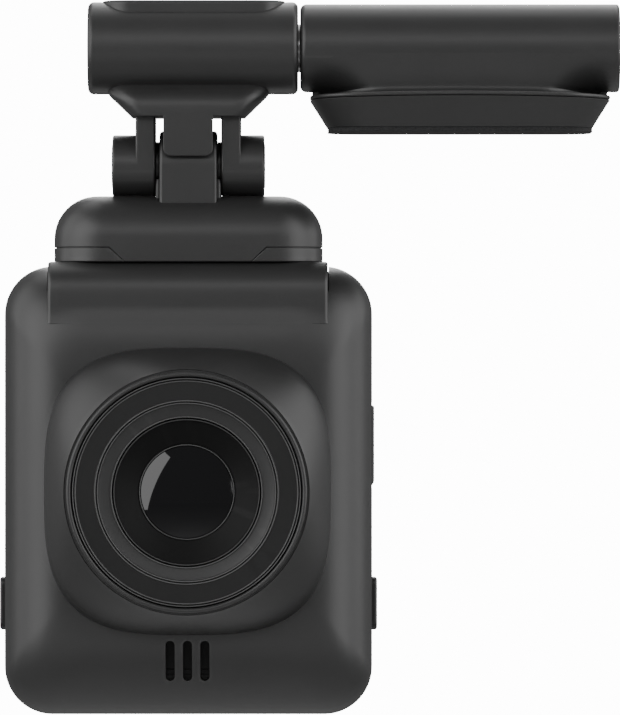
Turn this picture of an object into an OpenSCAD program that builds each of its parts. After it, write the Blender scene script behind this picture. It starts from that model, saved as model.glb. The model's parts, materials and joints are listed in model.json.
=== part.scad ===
// Dash camera that hangs by magnets from a hinged neck. The neck swivels on a round foot
// with a satellite receiver, which sticks to the windscreen by an adhesive pad.
// Frame: millimetres, +Z up, the lens looks along -Y, +X to the viewer's right.
// Origin: the middle of the adhesive pad's face. All bodies share the mid-depth plane Y = 0.

/* [Camera body] */
// Width of the camera body
body_w = 52; // [50:1:58]
// Height of the camera body
body_h = 63.5; // [63:0.5:70]
// Corner radius of the body in the front view
body_r = 6.8; // [5:0.2:9]
// Depth of the front shell in front of the mid-depth plane
front_d = 11; // [10:0.5:13]
// Depth of the camera behind the mid-depth plane
rear_d = 9; // [8.5:0.5:11]
// Wall of the camera's shells
wall = 1.8; // [1.4:0.1:2]

/* [Lens] */
// Half width of the swelling around the lens
bulge_half = 20; // [19:0.5:21]
// Radius of the swelling's round rim
rim_r = 16.9; // [16.5:0.1:17.5]
// How far the rim stands in front of the body
rim_reach = 8.6; // [7:0.2:10]
// Radius of the front lens element
glass_r = 6.5; // [6:0.1:7]

/* [Magnetic head] */
// Width of the head
head_w = 38; // [37:0.5:39]
// Depth of the head, front to back
head_d = 15.4; // [15:0.2:17]
// Radius that rounds the head's upper edges
head_r = 6; // [5:0.2:6.5]

/* [Neck] */
// Radius of the neck's barrel
neck_r = 6.55; // [6.4:0.05:7]
// Radius of the neck's outer knuckles
knuckle_r = 4.4; // [4.2:0.1:4.6]
// Radius of the tilt pin
pin_r = 1.5; // [1.2:0.1:1.8]

/* [Foot] */
// Radius of the foot's barrel
foot_barrel_r = 6.25; // [6:0.05:6.5]
// Length of the foot's barrel
foot_barrel_l = 45.2; // [44:0.2:50]
// Length of the foot at its top edge
foot_l = 42.4; // [42:0.2:44]
// Depth of the foot at its top edge
foot_d = 24; // [22:0.5:27]
// Radius of the hollow swivel axle
axle_r = 3.4; // [3:0.1:3.6]

/* [Hidden] */
$fn = 64;
BLACK = "#2c2c2c";
DARK = "#1c1c1c";
STEEL = "silver";
BOARD = "#1d4d2e";
GOLD = "gold";
eps = 0.01;
layer_t = 0.01; // thickness of the levels that a rounded shell is drawn through
running = 0.05; // radial clearance of a pin or shaft that turns
gap = 0.3; // clearance of plastic pieces that move past each other

// Places of the axes and of the bodies
swivel_z = 12;
cam_x = -38.4;
cam_z = -50.6;
hinge_z = -4.7;
head_top = -8.95;
dock_z = -18.3;

// The foot
pad_t = 0.6;
foot_slope = 2.5; // how much each side of the foot draws in towards the pad
foot_top = 5.8;
foot_edge_r = 8;
crown_r = 222;
foot_end = foot_barrel_l / 2;
barrel_bore = 5;

// The neck's barrel
neck_x1 = -foot_end - 0.28;
neck_x0 = neck_x1 - 29.76;
bearing_l = 5;
nut_t = 2.2;
neck_floor = 2.2; // underside of the neck's boss

// The tilt hinge, across the middle of the neck
plate_in = 4.65;
plate_out = 7.45;
knuckle_out = 10.75;
centre_r = 4.96;
centre_half = 4.1;
pocket_x = 8.2;

// The camera, in its own frame with the lens centre at the origin
half_w = body_w / 2;
half_h = body_h / 2;
rear_y = rear_d;
parting_y = 3;
rim_y = -front_d - rim_reach;
pillow_y = 10; // depth over which the front rounds off
board_y = -1.8;
board_t = 1.2;
screw_x = half_w - 4.8;
screw_z = half_h - 4.15;
window_w = 45;
window_h = 34;
window_z = 8.2;
pin_x = half_w - 0.8; // the card cover's pin
key_z = -17.5;
key_x = [-15, -5, 5, 15];
button_z = -16;
card_z = 6.2;
pin_z = card_z - 4.7;
slot_z = -23.8;
slot_x = [-2.44, 0, 2.44];
dock_top = dock_z - cam_z;

// Shapes that repeat

// A rectangle with true round corners, centred
module rounded_rect(w, h, r) {
    square([w - 2 * r, h], center = true);
    square([w, h - 2 * r], center = true);
    for (x = [-1, 1], y = [-1, 1])
        translate([x * (w / 2 - r), y * (h / 2 - r)])
            circle(r);
}

// A flat outline drawn in X and Z, given thickness from y0 to y1
module slab_y(y0, y1) {
    translate([0, y1, 0])
        rotate([90, 0, 0])
            linear_extrude(y1 - y0)
                children();
}

// A flat outline drawn in X and Y, given thickness from z0 to z1
module slab_z(z0, z1) {
    translate([0, 0, z0])
        linear_extrude(z1 - z0)
            children();
}

module rod_x(x0, x1, r) {
    translate([x0, 0, 0])
        rotate([0, 90, 0])
            cylinder(h = x1 - x0, r = r);
}

module rod_y(y0, y1, r) {
    translate([0, y1, 0])
        rotate([90, 0, 0])
            cylinder(h = y1 - y0, r = r);
}

module rod_z(z0, z1, r) {
    translate([0, 0, z0])
        cylinder(h = z1 - z0, r = r);
}

// A rod along X whose two end edges are rounded
module soft_rod_x(x0, x1, r, edge) {
    translate([x0, 0, 0])
        rotate([0, 90, 0])
            rotate_extrude()
                intersection() {
                    translate([0, (x1 - x0) / 2])
                        rounded_rect(2 * r, x1 - x0, edge);
                    square([r, x1 - x0]);
                }
}

module box(x0, x1, y0, y1, z0, z1) {
    translate([x0, y0, z0])
        cube([x1 - x0, y1 - y0, z1 - z0]);
}

module ring_y(y0, y1, r_out, r_in) {
    difference() {
        rod_y(y0, y1, r_out);
        rod_y(y0 - 1, y1 + 1, r_in);
    }
}

module in_camera() {
    translate([cam_x, 0, cam_z])
        children();
}

module in_head() {
    translate([cam_x, 0, 0])
        children();
}

module at_swivel() {
    translate([0, 0, swivel_z])
        children();
}

module at_hinge() {
    translate([cam_x, 0, hinge_z])
        children();
}

// The foot: a round housing on a tray that holds the satellite receiver

// Everything under a wide arch along Y, whose height is measured at the middle
module under_crown(z) {
    translate([0, 50, z - crown_r])
        rotate([90, 0, 0])
            cylinder(h = 100, r = crown_r, $fn = 720);
}

// One level of the foot's outline, drawn in by a distance on every side
module foot_level(z, inset) {
    translate([0, 0, z])
        linear_extrude(layer_t)
            rounded_rect(foot_l - 2 * inset, foot_d - 2 * inset, foot_edge_r - inset, $fn = 48);
}

module foot_housing() {
    color(BLACK)
        difference() {
            union() {
                at_swivel()
                    soft_rod_x(-foot_end, foot_end, foot_barrel_r, 0.9);
                intersection() {
                    slab_z(4, 7)
                        rounded_rect(foot_l, foot_d, foot_edge_r);
                    difference() {
                        under_crown(6.4);
                        under_crown(foot_top);
                    }
                }
            }
            at_swivel() {
                rod_x(-foot_end + 2, foot_end - 1.6, barrel_bore);
                rod_x(foot_end - 1.6, foot_end + 1, barrel_bore + 0.3);
                rod_x(-foot_end - 1, foot_end, axle_r);
            }
            box(-8, 8, -2.5, 2.5, 4.5, 9);
        }
}

module foot_tray() {
    color(BLACK)
        difference() {
            intersection() {
                hull() {
                    foot_level(7, -0.1);
                    foot_level(pad_t, foot_slope);
                }
                under_crown(foot_top - 0.12);
            }
            hull() {
                foot_level(7, 1.4);
                foot_level(pad_t + 1.2, foot_slope + 1.4);
            }
            at_swivel()
                rod_x(-foot_end, foot_end, foot_barrel_r + 0.02);
            box(-4.7, 4.7, 3.8, foot_d, 1.6, 5.25);
        }
}

module foot_end_cap() {
    color(BLACK)
        at_swivel()
            difference() {
                rod_x(foot_end - 1.6, foot_end, barrel_bore + 0.25);
                rod_x(foot_end - 0.25, foot_end + 1, 3.6);
            }
}

module adhesive_pad() {
    color(DARK)
        slab_z(0, pad_t)
            rounded_rect(foot_l - 2 * foot_slope, foot_d - 2 * foot_slope, foot_edge_r - foot_slope);
}

module receiver_board() {
    color(BOARD)
        difference() {
            slab_z(4.35, 4.95)
                rounded_rect(34, 16, 3);
            for (x = [-14.5, 14.5])
                translate([x, 0, 0])
                    rod_z(4, 6, 0.9);
        }
}

module patch_antenna() {
    color("wheat")
        translate([-11.2, 0, 0])
            slab_z(1.95, 4.35)
                rounded_rect(12, 12, 0.8);
}

module power_inlet() {
    color(STEEL)
        difference() {
            translate([0, 10.6, 3])
                rotate([90, 0, 0])
                    linear_extrude(6.6)
                        rounded_rect(8.9, 2.7, 1.3);
            translate([0, 11.6, 3])
                rotate([90, 0, 0])
                    linear_extrude(6.2)
                        rounded_rect(8.3, 2.1, 1.04);
        }
}

module foot_leads() {
    color("firebrick")
        for (y = [-1.1, 0, 1.1])
            translate([0, y, 0]) {
                rod_z(4.95, swivel_z, 0.45);
                translate([0, 0, swivel_z])
                    rod_x(-33, 0, 0.45);
            }
}

// The swivel: a hollow axle, fixed in the foot, on which the neck's barrel turns

module swivel_axle() {
    color(STEEL)
        at_swivel()
            difference() {
                union() {
                    rod_x(neck_x1 - 9.2, -foot_end + 3.4, axle_r);
                    rod_x(-foot_end + 2, -foot_end + 3.6, barrel_bore - 0.05);
                }
                rod_x(neck_x1 - 10, -foot_end + 4, 2.2);
            }
}

module swivel_ring(x1, t, r_out) {
    at_swivel()
        difference() {
            rod_x(x1 - t, x1, r_out);
            rod_x(x1 - t - 1, x1 + 1, axle_r + eps);
        }
}

module swivel_washer() {
    color("ivory")
        swivel_ring(neck_x1 - bearing_l - 0.1, 0.5, 4.8);
}

module swivel_spring() {
    color(STEEL)
        swivel_ring(neck_x1 - bearing_l - 0.6, 0.6, 4.6);
}

module swivel_nut() {
    color(STEEL)
        at_swivel()
            translate([neck_x1 - bearing_l - 1.2 - nut_t, 0, 0])
                rotate([0, 90, 0])
                    difference() {
                        cylinder(h = nut_t, r = 4.85, $fn = 6);
                        translate([0, 0, -1])
                            cylinder(h = nut_t + 2, r = axle_r + eps);
                    }
}

// The neck: a barrel with a boss, two plates and the outer knuckles of the tilt hinge

module neck_boss() {
    translate([cam_x, 0, 0])
        hull() {
            slab_z(neck_floor, neck_floor + 0.5)
                rounded_rect(16.7, 10.6, 2.5, $fn = 32);
            slab_z(5.3, 6.6)
                rounded_rect(22.8, 8.6, 3.8, $fn = 32);
        }
}

module neck_tongue() {
    translate([cam_x, 0, 0]) {
        slab_y(-5.9, -5.25)
            union() {
                translate([0, -0.3])
                    square([7, 4.4], center = true);
                translate([0, -1.6])
                    rounded_rect(7, 3.6, 0.9);
            }
        box(-3.5, 3.5, -5.9, -4, 1.5, neck_floor + 0.6);
    }
}

module neck_plates() {
    at_hinge()
        for (side = [0, 180])
            rotate([0, 0, side]) {
                box(plate_in, plate_out, -knuckle_r, knuckle_r, 0, neck_floor - hinge_z + 0.4);
                soft_rod_x(plate_in, knuckle_out, knuckle_r, 0.35);
            }
}

module neck_housing() {
    color(BLACK)
        difference() {
            union() {
                at_swivel()
                    soft_rod_x(neck_x0, neck_x1, neck_r, 0.8);
                neck_boss();
                neck_tongue();
                neck_plates();
            }
            at_swivel() {
                rod_x(neck_x0 + 1.2, neck_x1 - bearing_l, 5.1);
                rod_x(neck_x0 - 1, neck_x0 + 1.3, 5.4);
                rod_x(neck_x1 - bearing_l - 1, neck_x1 + 1, axle_r + running);
            }
            // pocket and window of the top cover
            translate([cam_x + 0.9, 0, 0]) {
                slab_z(swivel_z + 5.6, swivel_z + 9)
                    rounded_rect(24.9, 7.3, 3.6);
                slab_z(swivel_z, swivel_z + 9)
                    rounded_rect(20.4, 5.2, 2.5);
            }
            // way for the flat lead, from the barrel to the hinge
            translate([cam_x, 0, 0])
                box(-2.2, 2.2, -4.6, -3.2, neck_floor - 1, 8.5);
            at_hinge() {
                rod_x(-knuckle_out - 1, knuckle_out + 1, pin_r + 0.02);
                for (side = [0, 180])
                    rotate([0, 0, side])
                        rod_x(pocket_x, knuckle_out + 1, 3.3);
            }
        }
}

module neck_cover() {
    color(BLACK)
        translate([cam_x + 0.9, 0, 0])
            difference() {
                slab_z(swivel_z + 5.65, swivel_z + neck_r + 0.4)
                    rounded_rect(24.7, 7.1, 3.5);
                slab_z(swivel_z + 5, swivel_z + 6.05)
                    rounded_rect(19, 4.4, 2);
            }
}

module neck_end_cap() {
    color(BLACK)
        at_swivel()
            difference() {
                rod_x(neck_x0, neck_x0 + 1.2, 5.35);
                rod_x(neck_x0 - 1, neck_x0 + 0.2, 3.8);
            }
}

module hinge_screw() {
    color(STEEL)
        at_hinge()
            difference() {
                union() {
                    rod_x(-pocket_x, knuckle_out - 1, pin_r);
                    rod_x(-pocket_x - 1.4, -pocket_x, 2.7);
                }
                rod_x(-pocket_x - 2, -pocket_x - 0.6, 0.9);
            }
}

module hinge_nut() {
    color(STEEL)
        at_hinge()
            translate([pocket_x, 0, 0])
                rotate([0, 90, 0])
                    difference() {
                        cylinder(h = 1.5, r = 3.1, $fn = 6);
                        translate([0, 0, -1])
                            cylinder(h = 4, r = pin_r + eps);
                    }
}

module hinge_washers() {
    color(DARK)
        at_hinge()
            for (side = [0, 180])
                rotate([0, 0, side])
                    difference() {
                        rod_x(centre_half + running, plate_in, 3.45);
                        rod_x(0, plate_in + 1, pin_r + 0.02);
                    }
}

module knuckle_caps() {
    color(BLACK)
        at_hinge()
            for (side = [0, 180])
                rotate([0, 0, side])
                    soft_rod_x(knuckle_out - 0.9, knuckle_out + 0.1, 3.28, 0.3);
}

// The magnetic head, which tilts on the pin

module head_form(grow = 0, floor_z = dock_z) {
    r = head_r + grow;
    dx = head_w / 2 - head_r;
    dy = head_d / 2 - head_r;
    intersection() {
        hull()
            for (x = [-dx, dx], y = [-dy, dy])
                translate([x, y, 0]) {
                    translate([0, 0, head_top - head_r])
                        sphere(r, $fn = 32);
                    rod_z(floor_z - 4, head_top - head_r, r, $fn = 32);
                }
        box(-head_w, head_w, -head_d, head_d, floor_z, head_top + 1);
    }
}

// The side view, drawn in X and Z, of what the base plate shows at the head's two ends
module base_wing() {
    polygon([[9, dock_z - 1], [9, dock_z], [11.4, dock_z + 2], [20, dock_z + 2], [20, dock_z - 1]]);
}

module head_shell() {
    color(BLACK)
        in_head()
            difference() {
                head_form();
                head_form(-1.6, dock_z - 1);
                for (m = [0, 1])
                    mirror([m, 0, 0])
                        slab_y(-head_d, head_d)
                            base_wing();
                box(-centre_half - 0.05, centre_half + 0.05, -5.01, 5.01, -13, 0);
                translate([0, 0, hinge_z])
                    for (m = [0, 1])
                        mirror([m, 0, 0])
                            rod_x(centre_half, knuckle_out + 0.4, knuckle_r + gap);
            }
}

module head_base() {
    color(BLACK)
        in_head()
            difference() {
                union() {
                    intersection() {
                        head_form();
                        for (m = [0, 1])
                            mirror([m, 0, 0])
                                slab_y(-head_d, head_d)
                                    translate([0.06, -0.06])
                                        base_wing();
                    }
                    slab_z(dock_z, dock_z + 1.8)
                        rounded_rect(head_w - 3.4, head_d - 3.4, head_r - 1.7);
                    slab_z(dock_z - 0.9, dock_z + 1)
                        rounded_rect(30, 9, 2);
                }
                for (x = [-10.5, 10.5])
                    translate([x, 0, 0])
                        rod_z(dock_z - 0.5, dock_z + 3, 3.55);
                box(-4.6, 4.6, -2.15, 2.15, dock_z - 2, dock_z + 3);
                for (x = [-15.8, 15.8])
                    translate([x, 0, 0])
                        rod_z(dock_z - 2, dock_z + 3, 0.75);
            }
}

module head_magnets() {
    color(STEEL)
        in_head()
            for (x = [-10.5, 10.5])
                translate([x, 0, 0])
                    rod_z(dock_z - 0.5, dock_z + 1.7, 3.5);
}

module contact_block() {
    color(DARK)
        in_head()
            difference() {
                box(-4.55, 4.55, -2.1, 2.1, dock_z - 0.9, dock_z + 2.4);
                for (x = [-3, -1, 1, 3])
                    translate([x, 0, 0])
                        rod_z(dock_z - 2, dock_z + 3, 0.5);
            }
}

module spring_contacts() {
    color(GOLD)
        in_head()
            for (x = [-3, -1, 1, 3])
                translate([x, 0, 0])
                    rod_z(dock_z - 1.1, dock_z + 2.8, 0.48);
}

module head_knuckle() {
    color(BLACK)
        in_head()
            difference() {
                union() {
                    translate([0, 0, hinge_z])
                        soft_rod_x(-centre_half, centre_half, centre_r, 0.45);
                    slab_z(-12.2, hinge_z)
                        rounded_rect(2 * centre_half, 2 * centre_r, 0.45);
                    slab_z(-12.2, -10.75)
                        rounded_rect(22, 5.6, 1);
                }
                translate([0, 0, hinge_z])
                    rod_x(-20, 20, pin_r + running);
                box(-2.1, 2.1, -3.9, -2.5, -13, 2);
                for (x = [-8, 8])
                    translate([x, 0, 0])
                        rod_z(-13, -10, 0.75);
            }
}

module head_screws() {
    color(STEEL)
        in_head()
            for (x = [-8, 8])
                translate([x, 0, 0]) {
                    rod_z(-12.2, -10.8, 0.73);
                    difference() {
                        rod_z(-13.1, -12.2, 1.5);
                        rod_z(-14, -12.8, 0.5);
                    }
                }
}

// The camera's shells

// The body's outline, drawn in from the sides and from the top and bottom
module body_level(y, in_x, in_z, r) {
    translate([0, y, 0])
        rotate([90, 0, 0])
            linear_extrude(layer_t)
                rounded_rect(body_w - 2 * in_x, body_h - 2 * in_z, r, $fn = 32);
}

// The front, rounded like a cushion, shrunk by t on every side
module pillow(t) {
    hull() {
        body_level(parting_y, t, t, body_r - t);
        for (a = [0:15:90])
            let (open = 1 - cos(a), y = -front_d + t + pillow_y * (1 - sin(a)))
                body_level(y, t + 9 * open, t + 12 * open, max(body_r - t - 2 * open, 2));
    }
}

// A square with bulging sides and wide corners
function squircle(a, n, steps = 72) = [
    for (i = [0:steps - 1])
        let (t = 360 * i / steps, c = cos(t), s = sin(t))
            [a * sign(c) * pow(abs(c), 2 / n), a * sign(s) * pow(abs(s), 2 / n)]
];

module bulge() {
    hull() {
        slab_y(-9.6, -9.5)
            polygon(squircle(bulge_half, 3.1));
        rod_y(rim_y + 0.5, rim_y + 0.9, rim_r, $fn = 72);
        rod_y(rim_y, rim_y + 0.1, rim_r - 0.5, $fn = 72);
    }
}

module at_body_screws() {
    for (x = [-screw_x, screw_x], z = [-screw_z, screw_z])
        translate([x, 0, z])
            children();
}

// A side button's outline, drawn in Y and Z and given thickness along X
module side_button(x0, x1, w, h, r) {
    translate([x0, 0.2, button_z])
        rotate([90, 0, 90])
            linear_extrude(x1 - x0)
                rounded_rect(w, h, r);
}

module front_shell() {
    color(BLACK)
        in_camera()
            difference() {
                union() {
                    difference() {
                        union() {
                            pillow(0);
                            bulge();
                        }
                        pillow(wall);
                    }
                    at_body_screws()
                        rod_y(-7, parting_y, 2);
                    box(half_w - 3.2, half_w - 0.6, -2.6, parting_y, card_z - 7, card_z + 7);
                }
                rod_y(rim_y + 1.8, 0, rim_r - 2.9);
                rod_y(rim_y - 1, rim_y + 2, rim_r - 1);
                at_body_screws()
                    rod_y(-6, parting_y + 1, 0.75);
                for (x = slot_x)
                    translate([x, 0, slot_z])
                        slab_y(-20, -2)
                            rounded_rect(1.28, 5.7, 0.63);
                for (m = [0, 1])
                    mirror([m, 0, 0])
                        side_button(half_w - 4, half_w + 1, 3.4, 7.9, 1.3);
                // seat of the card cover, and the slot behind it
                box(half_w - 1.6, half_w + 1, -2.05, 2.35, card_z - 6.1, card_z + 6.05);
                box(half_w - 2.2, half_w + 1, -2.05, 2.35, card_z - 6.1, card_z - 3.4);
                box(half_w - 6, half_w + 1, -0.35, 1.15, card_z - 5.8, card_z + 5.8);
                translate([pin_x, 0, pin_z])
                    rod_y(-2.75, 2.9, 0.45);
                // place of the dock housing
                box(-19.85, 19.85, -20, 20, dock_top - 4.2, dock_top + 1);
            }
}

module dock_form(t) {
    hull() {
        slab_z(dock_top - 6.2, dock_top - 4.1)
            translate([0, -1.15])
                rounded_rect(39.4 - 2 * t, 17.9 - 2 * t, 1.2, $fn = 24);
        slab_z(dock_top - 1.2 - t, dock_top - t)
            translate([0, 0.6])
                rounded_rect(39.4 - 2 * t, 14.4 - 2 * t, 1.2, $fn = 24);
        slab_z(dock_top - 3 - t, dock_top - 2.9 - t)
            translate([0, -0.65])
                rounded_rect(39.4 - 2 * t, 16.9 - 2 * t, 1.2, $fn = 24);
    }
}

module dock_housing() {
    color(BLACK)
        in_camera()
            difference() {
                dock_form(0);
                box(-17.8, 17.8, -8, 6.4, dock_top - 7, dock_top - 3.2);
                box(-25, 25, -20, 20, dock_top - 7, dock_top - 4.1);
                slab_z(dock_top - 1.3, dock_top + 1)
                    rounded_rect(30.8, 9.8, 2.4);
                for (x = [-10.5, 10.5])
                    translate([x, 0, 0])
                        rod_z(dock_top - 5, dock_top - 1.6, 3.55);
                box(-4.8, 4.8, -2.4, 2.4, dock_top - 5, dock_top);
            }
}

module dock_magnets() {
    color(STEEL)
        in_camera()
            for (x = [-10.5, 10.5])
                translate([x, 0, 0])
                    rod_z(dock_top - 4, dock_top - 1.65, 3.5);
}

module contact_board() {
    color(BOARD)
        in_camera()
            box(-4.75, 4.75, -2.35, 2.35, dock_top - 2.2, dock_top - 1.4);
    color(GOLD)
        in_camera()
            for (x = [-3, -1, 1, 3])
                translate([x, 0, 0])
                    rod_z(dock_top - 1.4, dock_top - 1.2, 0.75);
}

module rear_cover() {
    color(BLACK)
        in_camera()
            difference() {
                hull() {
                    body_level(parting_y + 0.1, 0, 0, body_r);
                    for (a = [0:22.5:90])
                        let (open = 1 - cos(a))
                            body_level(rear_y - 3.2 * (1 - sin(a)), 3.2 * open, 3.2 * open,
                                body_r - 3.2 * open);
                }
                slab_y(parting_y - 1, rear_y - 1.6)
                    rounded_rect(body_w - 2 * wall, body_h - 2 * wall, body_r - wall);
                translate([0, 0, window_z]) {
                    slab_y(rear_y - 0.95, rear_y + 1)
                        rounded_rect(window_w + 0.2, window_h + 0.2, 1.6);
                    slab_y(0, rear_y + 1)
                        square([41, 31], center = true);
                }
                for (x = key_x)
                    translate([x, 0, key_z])
                        slab_y(0, rear_y + 1)
                            rounded_rect(8.4, 4.6, 2.2);
                at_body_screws() {
                    rod_y(0, rear_y + 1, 0.95);
                    rod_y(rear_y - 1.2, rear_y + 1, 1.7);
                }
                box(-19.85, 19.85, -20, rear_y - 1.2, dock_top - 4.2, dock_top + 1);
            }
    color(BLACK)
        in_camera()
            difference() {
                at_body_screws()
                    difference() {
                        rod_y(parting_y + 0.05, rear_y - 1.55, 2.1);
                        rod_y(0, rear_y, 0.95);
                    }
                box(-19.9, 19.9, -20, rear_y, dock_top - 4.25, dock_top + 1);
            }
}

module body_screws() {
    color(STEEL)
        in_camera()
            at_body_screws() {
                rod_y(-5, rear_y - 1.2, 0.74);
                difference() {
                    rod_y(rear_y - 1.2, rear_y - 0.3, 1.5);
                    rod_y(rear_y - 0.7, rear_y, 0.55);
                }
            }
}

// The lens, from the front ring to the sensor

module outer_ring() {
    color(DARK)
        in_camera()
            ring_y(rim_y + 0.7, rim_y + 1.9, rim_r - 1.05, 12.6);
}

module middle_ring() {
    color(BLACK)
        in_camera()
            rotate([90, 0, 0])
                rotate_extrude()
                    polygon([
                        [12.58, -rim_y - 1], [12.58, -rim_y - 4.5], [10.3, -rim_y - 4.5],
                        [10.3, -rim_y - 2], [12.3, -rim_y - 0.9]
                    ]);
}

module lens_hood() {
    color(DARK)
        in_camera()
            rotate([90, 0, 0])
                rotate_extrude()
                    polygon([
                        [10.28, -rim_y - 1.9], [10.28, -rim_y - 5], [7.3, -rim_y - 5],
                        [7.3, -rim_y - 3.2], [10, -rim_y - 1.9]
                    ]);
}

module lens_barrel() {
    color(DARK)
        in_camera()
            difference() {
                union() {
                    rod_y(rim_y + 2.6, rim_y + 8, 7.25);
                    rod_y(rim_y + 7.9, -5, 5.95);
                }
                rod_y(rim_y + 2, rim_y + 4.6, glass_r + 0.02);
                rod_y(rim_y + 4.5, -4, 4.6);
            }
}

module front_lens() {
    color("#20242a")
        in_camera()
            rotate([90, 0, 0])
                rotate_extrude()
                    intersection() {
                        translate([0, -rim_y - 2.4 - 13])
                            circle(13, $fn = 180);
                        translate([0, -rim_y - 4.5])
                            square([glass_r, 4]);
                    }
}

module inner_lenses() {
    color("#39424a")
        in_camera()
            for (y = [rim_y + 5.6, rim_y + 8.6, rim_y + 11])
                rod_y(y, y + 1.6, 4.58);
}

module infrared_filter() {
    color("#6b2f3a")
        in_camera()
            slab_y(-4.7, -4.4)
                square([7, 7], center = true);
}

module lens_holder() {
    color(DARK)
        in_camera()
            difference() {
                union() {
                    slab_y(-5.6, board_y)
                        rounded_rect(15, 15, 1.5);
                    rod_y(-10.5, board_y, 7.4);
                }
                rod_y(-11, -4.9, 6);
                slab_y(-5, board_y + 1)
                    square([11, 11], center = true);
            }
}

module image_sensor() {
    color("#26303c")
        in_camera()
            slab_y(board_y - 1.3, board_y)
                square([8.4, 7.4], center = true);
}

// The electronics

module main_board() {
    color(BOARD)
        in_camera()
            difference() {
                slab_y(board_y, board_y + board_t)
                    translate([0, -1])
                        rounded_rect(43.6, 48.8, 2);
                for (x = [-19, 19], z = [-22.5, 20.5])
                    translate([x, 0, z])
                        rod_y(-10, 10, 0.9);
                box(20.5, 23, -5, 5, card_z - 8, card_z + 8);
            }
}

module processor() {
    color(DARK)
        in_camera() {
            translate([-6, 0, 8])
                slab_y(board_y + board_t, board_y + board_t + 0.9)
                    square([12, 12], center = true);
            translate([-14.5, 0, 8])
                slab_y(board_y + board_t, board_y + board_t + 0.9)
                    square([4, 9], center = true);
        }
}

module heat_spreader() {
    color("lightgrey")
        in_camera()
            translate([-8.5, 0, 8])
                difference() {
                    slab_y(board_y + board_t + 0.9, board_y + board_t + 1.9)
                        rounded_rect(20, 18, 1);
                    for (x = [-8, 8])
                        translate([x, 0, 7])
                            rod_y(-5, 5, 0.9);
                }
}

module battery() {
    color("#8a8f94")
        in_camera()
            translate([-3, 0, -14.5])
                slab_y(board_y + board_t + 0.4, 3.9)
                    rounded_rect(27, 18, 1.4);
}

module speaker() {
    color(DARK)
        in_camera()
            translate([0, 0, slot_z + 1.9])
                difference() {
                    slab_y(-6, board_y - 0.2)
                        rounded_rect(17, 9, 1.2);
                    slab_y(-7, -5.4)
                        rounded_rect(14.6, 6.6, 3);
                }
}

module card_socket() {
    color(STEEL)
        in_camera()
            difference() {
                box(6.6, 20.6, -0.55, 1.35, card_z - 6.6, card_z + 6.6);
                box(7.2, 22, -0.3, 1.1, card_z - 5.75, card_z + 5.75);
            }
}

module side_switches() {
    color(STEEL)
        in_camera()
            for (m = [0, 1])
                mirror([m, 0, 0]) {
                    box(18.5, 21.6, -0.55, 1.4, button_z - 1.8, button_z + 1.8);
                    box(21.6, 22, -0.3, 0.9, button_z - 0.9, button_z + 0.9);
                }
}

module key_board() {
    color(BOARD)
        in_camera()
            slab_y(4.3, 5.1)
                translate([0, key_z])
                    rounded_rect(40, 8, 1);
    color(STEEL)
        in_camera()
            for (x = key_x)
                translate([x, 0, key_z]) {
                    slab_y(5.1, 5.8)
                        square([3.4, 3.4], center = true);
                    rod_y(5.8, 6.1, 0.8);
                }
}

module display_panel() {
    color("#9aa0a6")
        in_camera()
            slab_y(5.1, rear_y - 1.65)
                translate([0, window_z])
                    rounded_rect(46, 34.5, 0.6);
}

module display_window() {
    color("#101114")
        in_camera()
            slab_y(rear_y - 0.9, rear_y)
                translate([0, window_z])
                    rounded_rect(window_w, window_h, 1.5);
}

// The buttons, keys, card and cover, which move

module button_form() {
    side_button(half_w - 1.2, half_w + 0.72, 3, 7.5, 1.1);
    side_button(half_w - 3.2, half_w - 2.4, 4.4, 9, 1.2);
    side_button(half_w - 2.5, half_w - 1.1, 2.6, 7.1, 1);
}

module right_button() {
    color(DARK)
        in_camera()
            button_form();
}

module left_button() {
    color(DARK)
        in_camera()
            mirror([1, 0, 0])
                button_form();
}

module rear_key(i) {
    color(DARK)
        in_camera()
            translate([key_x[i], 0, key_z]) {
                slab_y(rear_y - 2, rear_y + 0.4)
                    rounded_rect(8, 4.2, 2);
                slab_y(rear_y - 2.4, rear_y - 1.9)
                    rounded_rect(9.2, 5.4, 2.2);
            }
}

module menu_key() {
    rear_key(0);
}

module up_key() {
    rear_key(1);
}

module down_key() {
    rear_key(2);
}

module ok_key() {
    rear_key(3);
}

module memory_card() {
    color(DARK)
        in_camera()
            slab_y(0, 0.8)
                translate([half_w - 9.8, card_z])
                    rounded_rect(13, 11, 0.6);
}

module card_cover() {
    color(DARK)
        in_camera() {
            difference() {
                box(half_w - 1.4, half_w + 0.3, -1.85, 2.15, pin_z, card_z + 5.85);
                translate([half_w + 0.3, 0, card_z + 4.9])
                    rod_y(-1.2, 1.5, 0.35);
            }
            intersection() {
                translate([pin_x, 0, pin_z])
                    rod_y(-1.85, 2.15, 1.1);
                box(pin_x, half_w + 1, -2, 3, pin_z - 2, pin_z + 0.1);
            }
            translate([pin_x, 0, pin_z]) {
                rod_y(-1.85, 2.15, 0.6);
                rod_y(-2.65, 2.85, 0.4);
            }
        }
}

foot_housing();
foot_tray();
foot_end_cap();
adhesive_pad();
receiver_board();
patch_antenna();
power_inlet();
swivel_axle();
swivel_washer();
swivel_spring();
swivel_nut();
foot_leads();
neck_housing();
neck_cover();
neck_end_cap();
hinge_screw();
hinge_nut();
hinge_washers();
knuckle_caps();
head_knuckle();
head_shell();
head_base();
head_magnets();
contact_block();
spring_contacts();
head_screws();
front_shell();
dock_housing();
rear_cover();
body_screws();
dock_magnets();
contact_board();
outer_ring();
middle_ring();
lens_hood();
lens_barrel();
front_lens();
inner_lenses();
infrared_filter();
lens_holder();
image_sensor();
main_board();
processor();
heat_spreader();
battery();
speaker();
card_socket();
side_switches();
key_board();
display_panel();
display_window();
left_button();
right_button();
menu_key();
up_key();
down_key();
ok_key();
memory_card();
card_cover();
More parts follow.
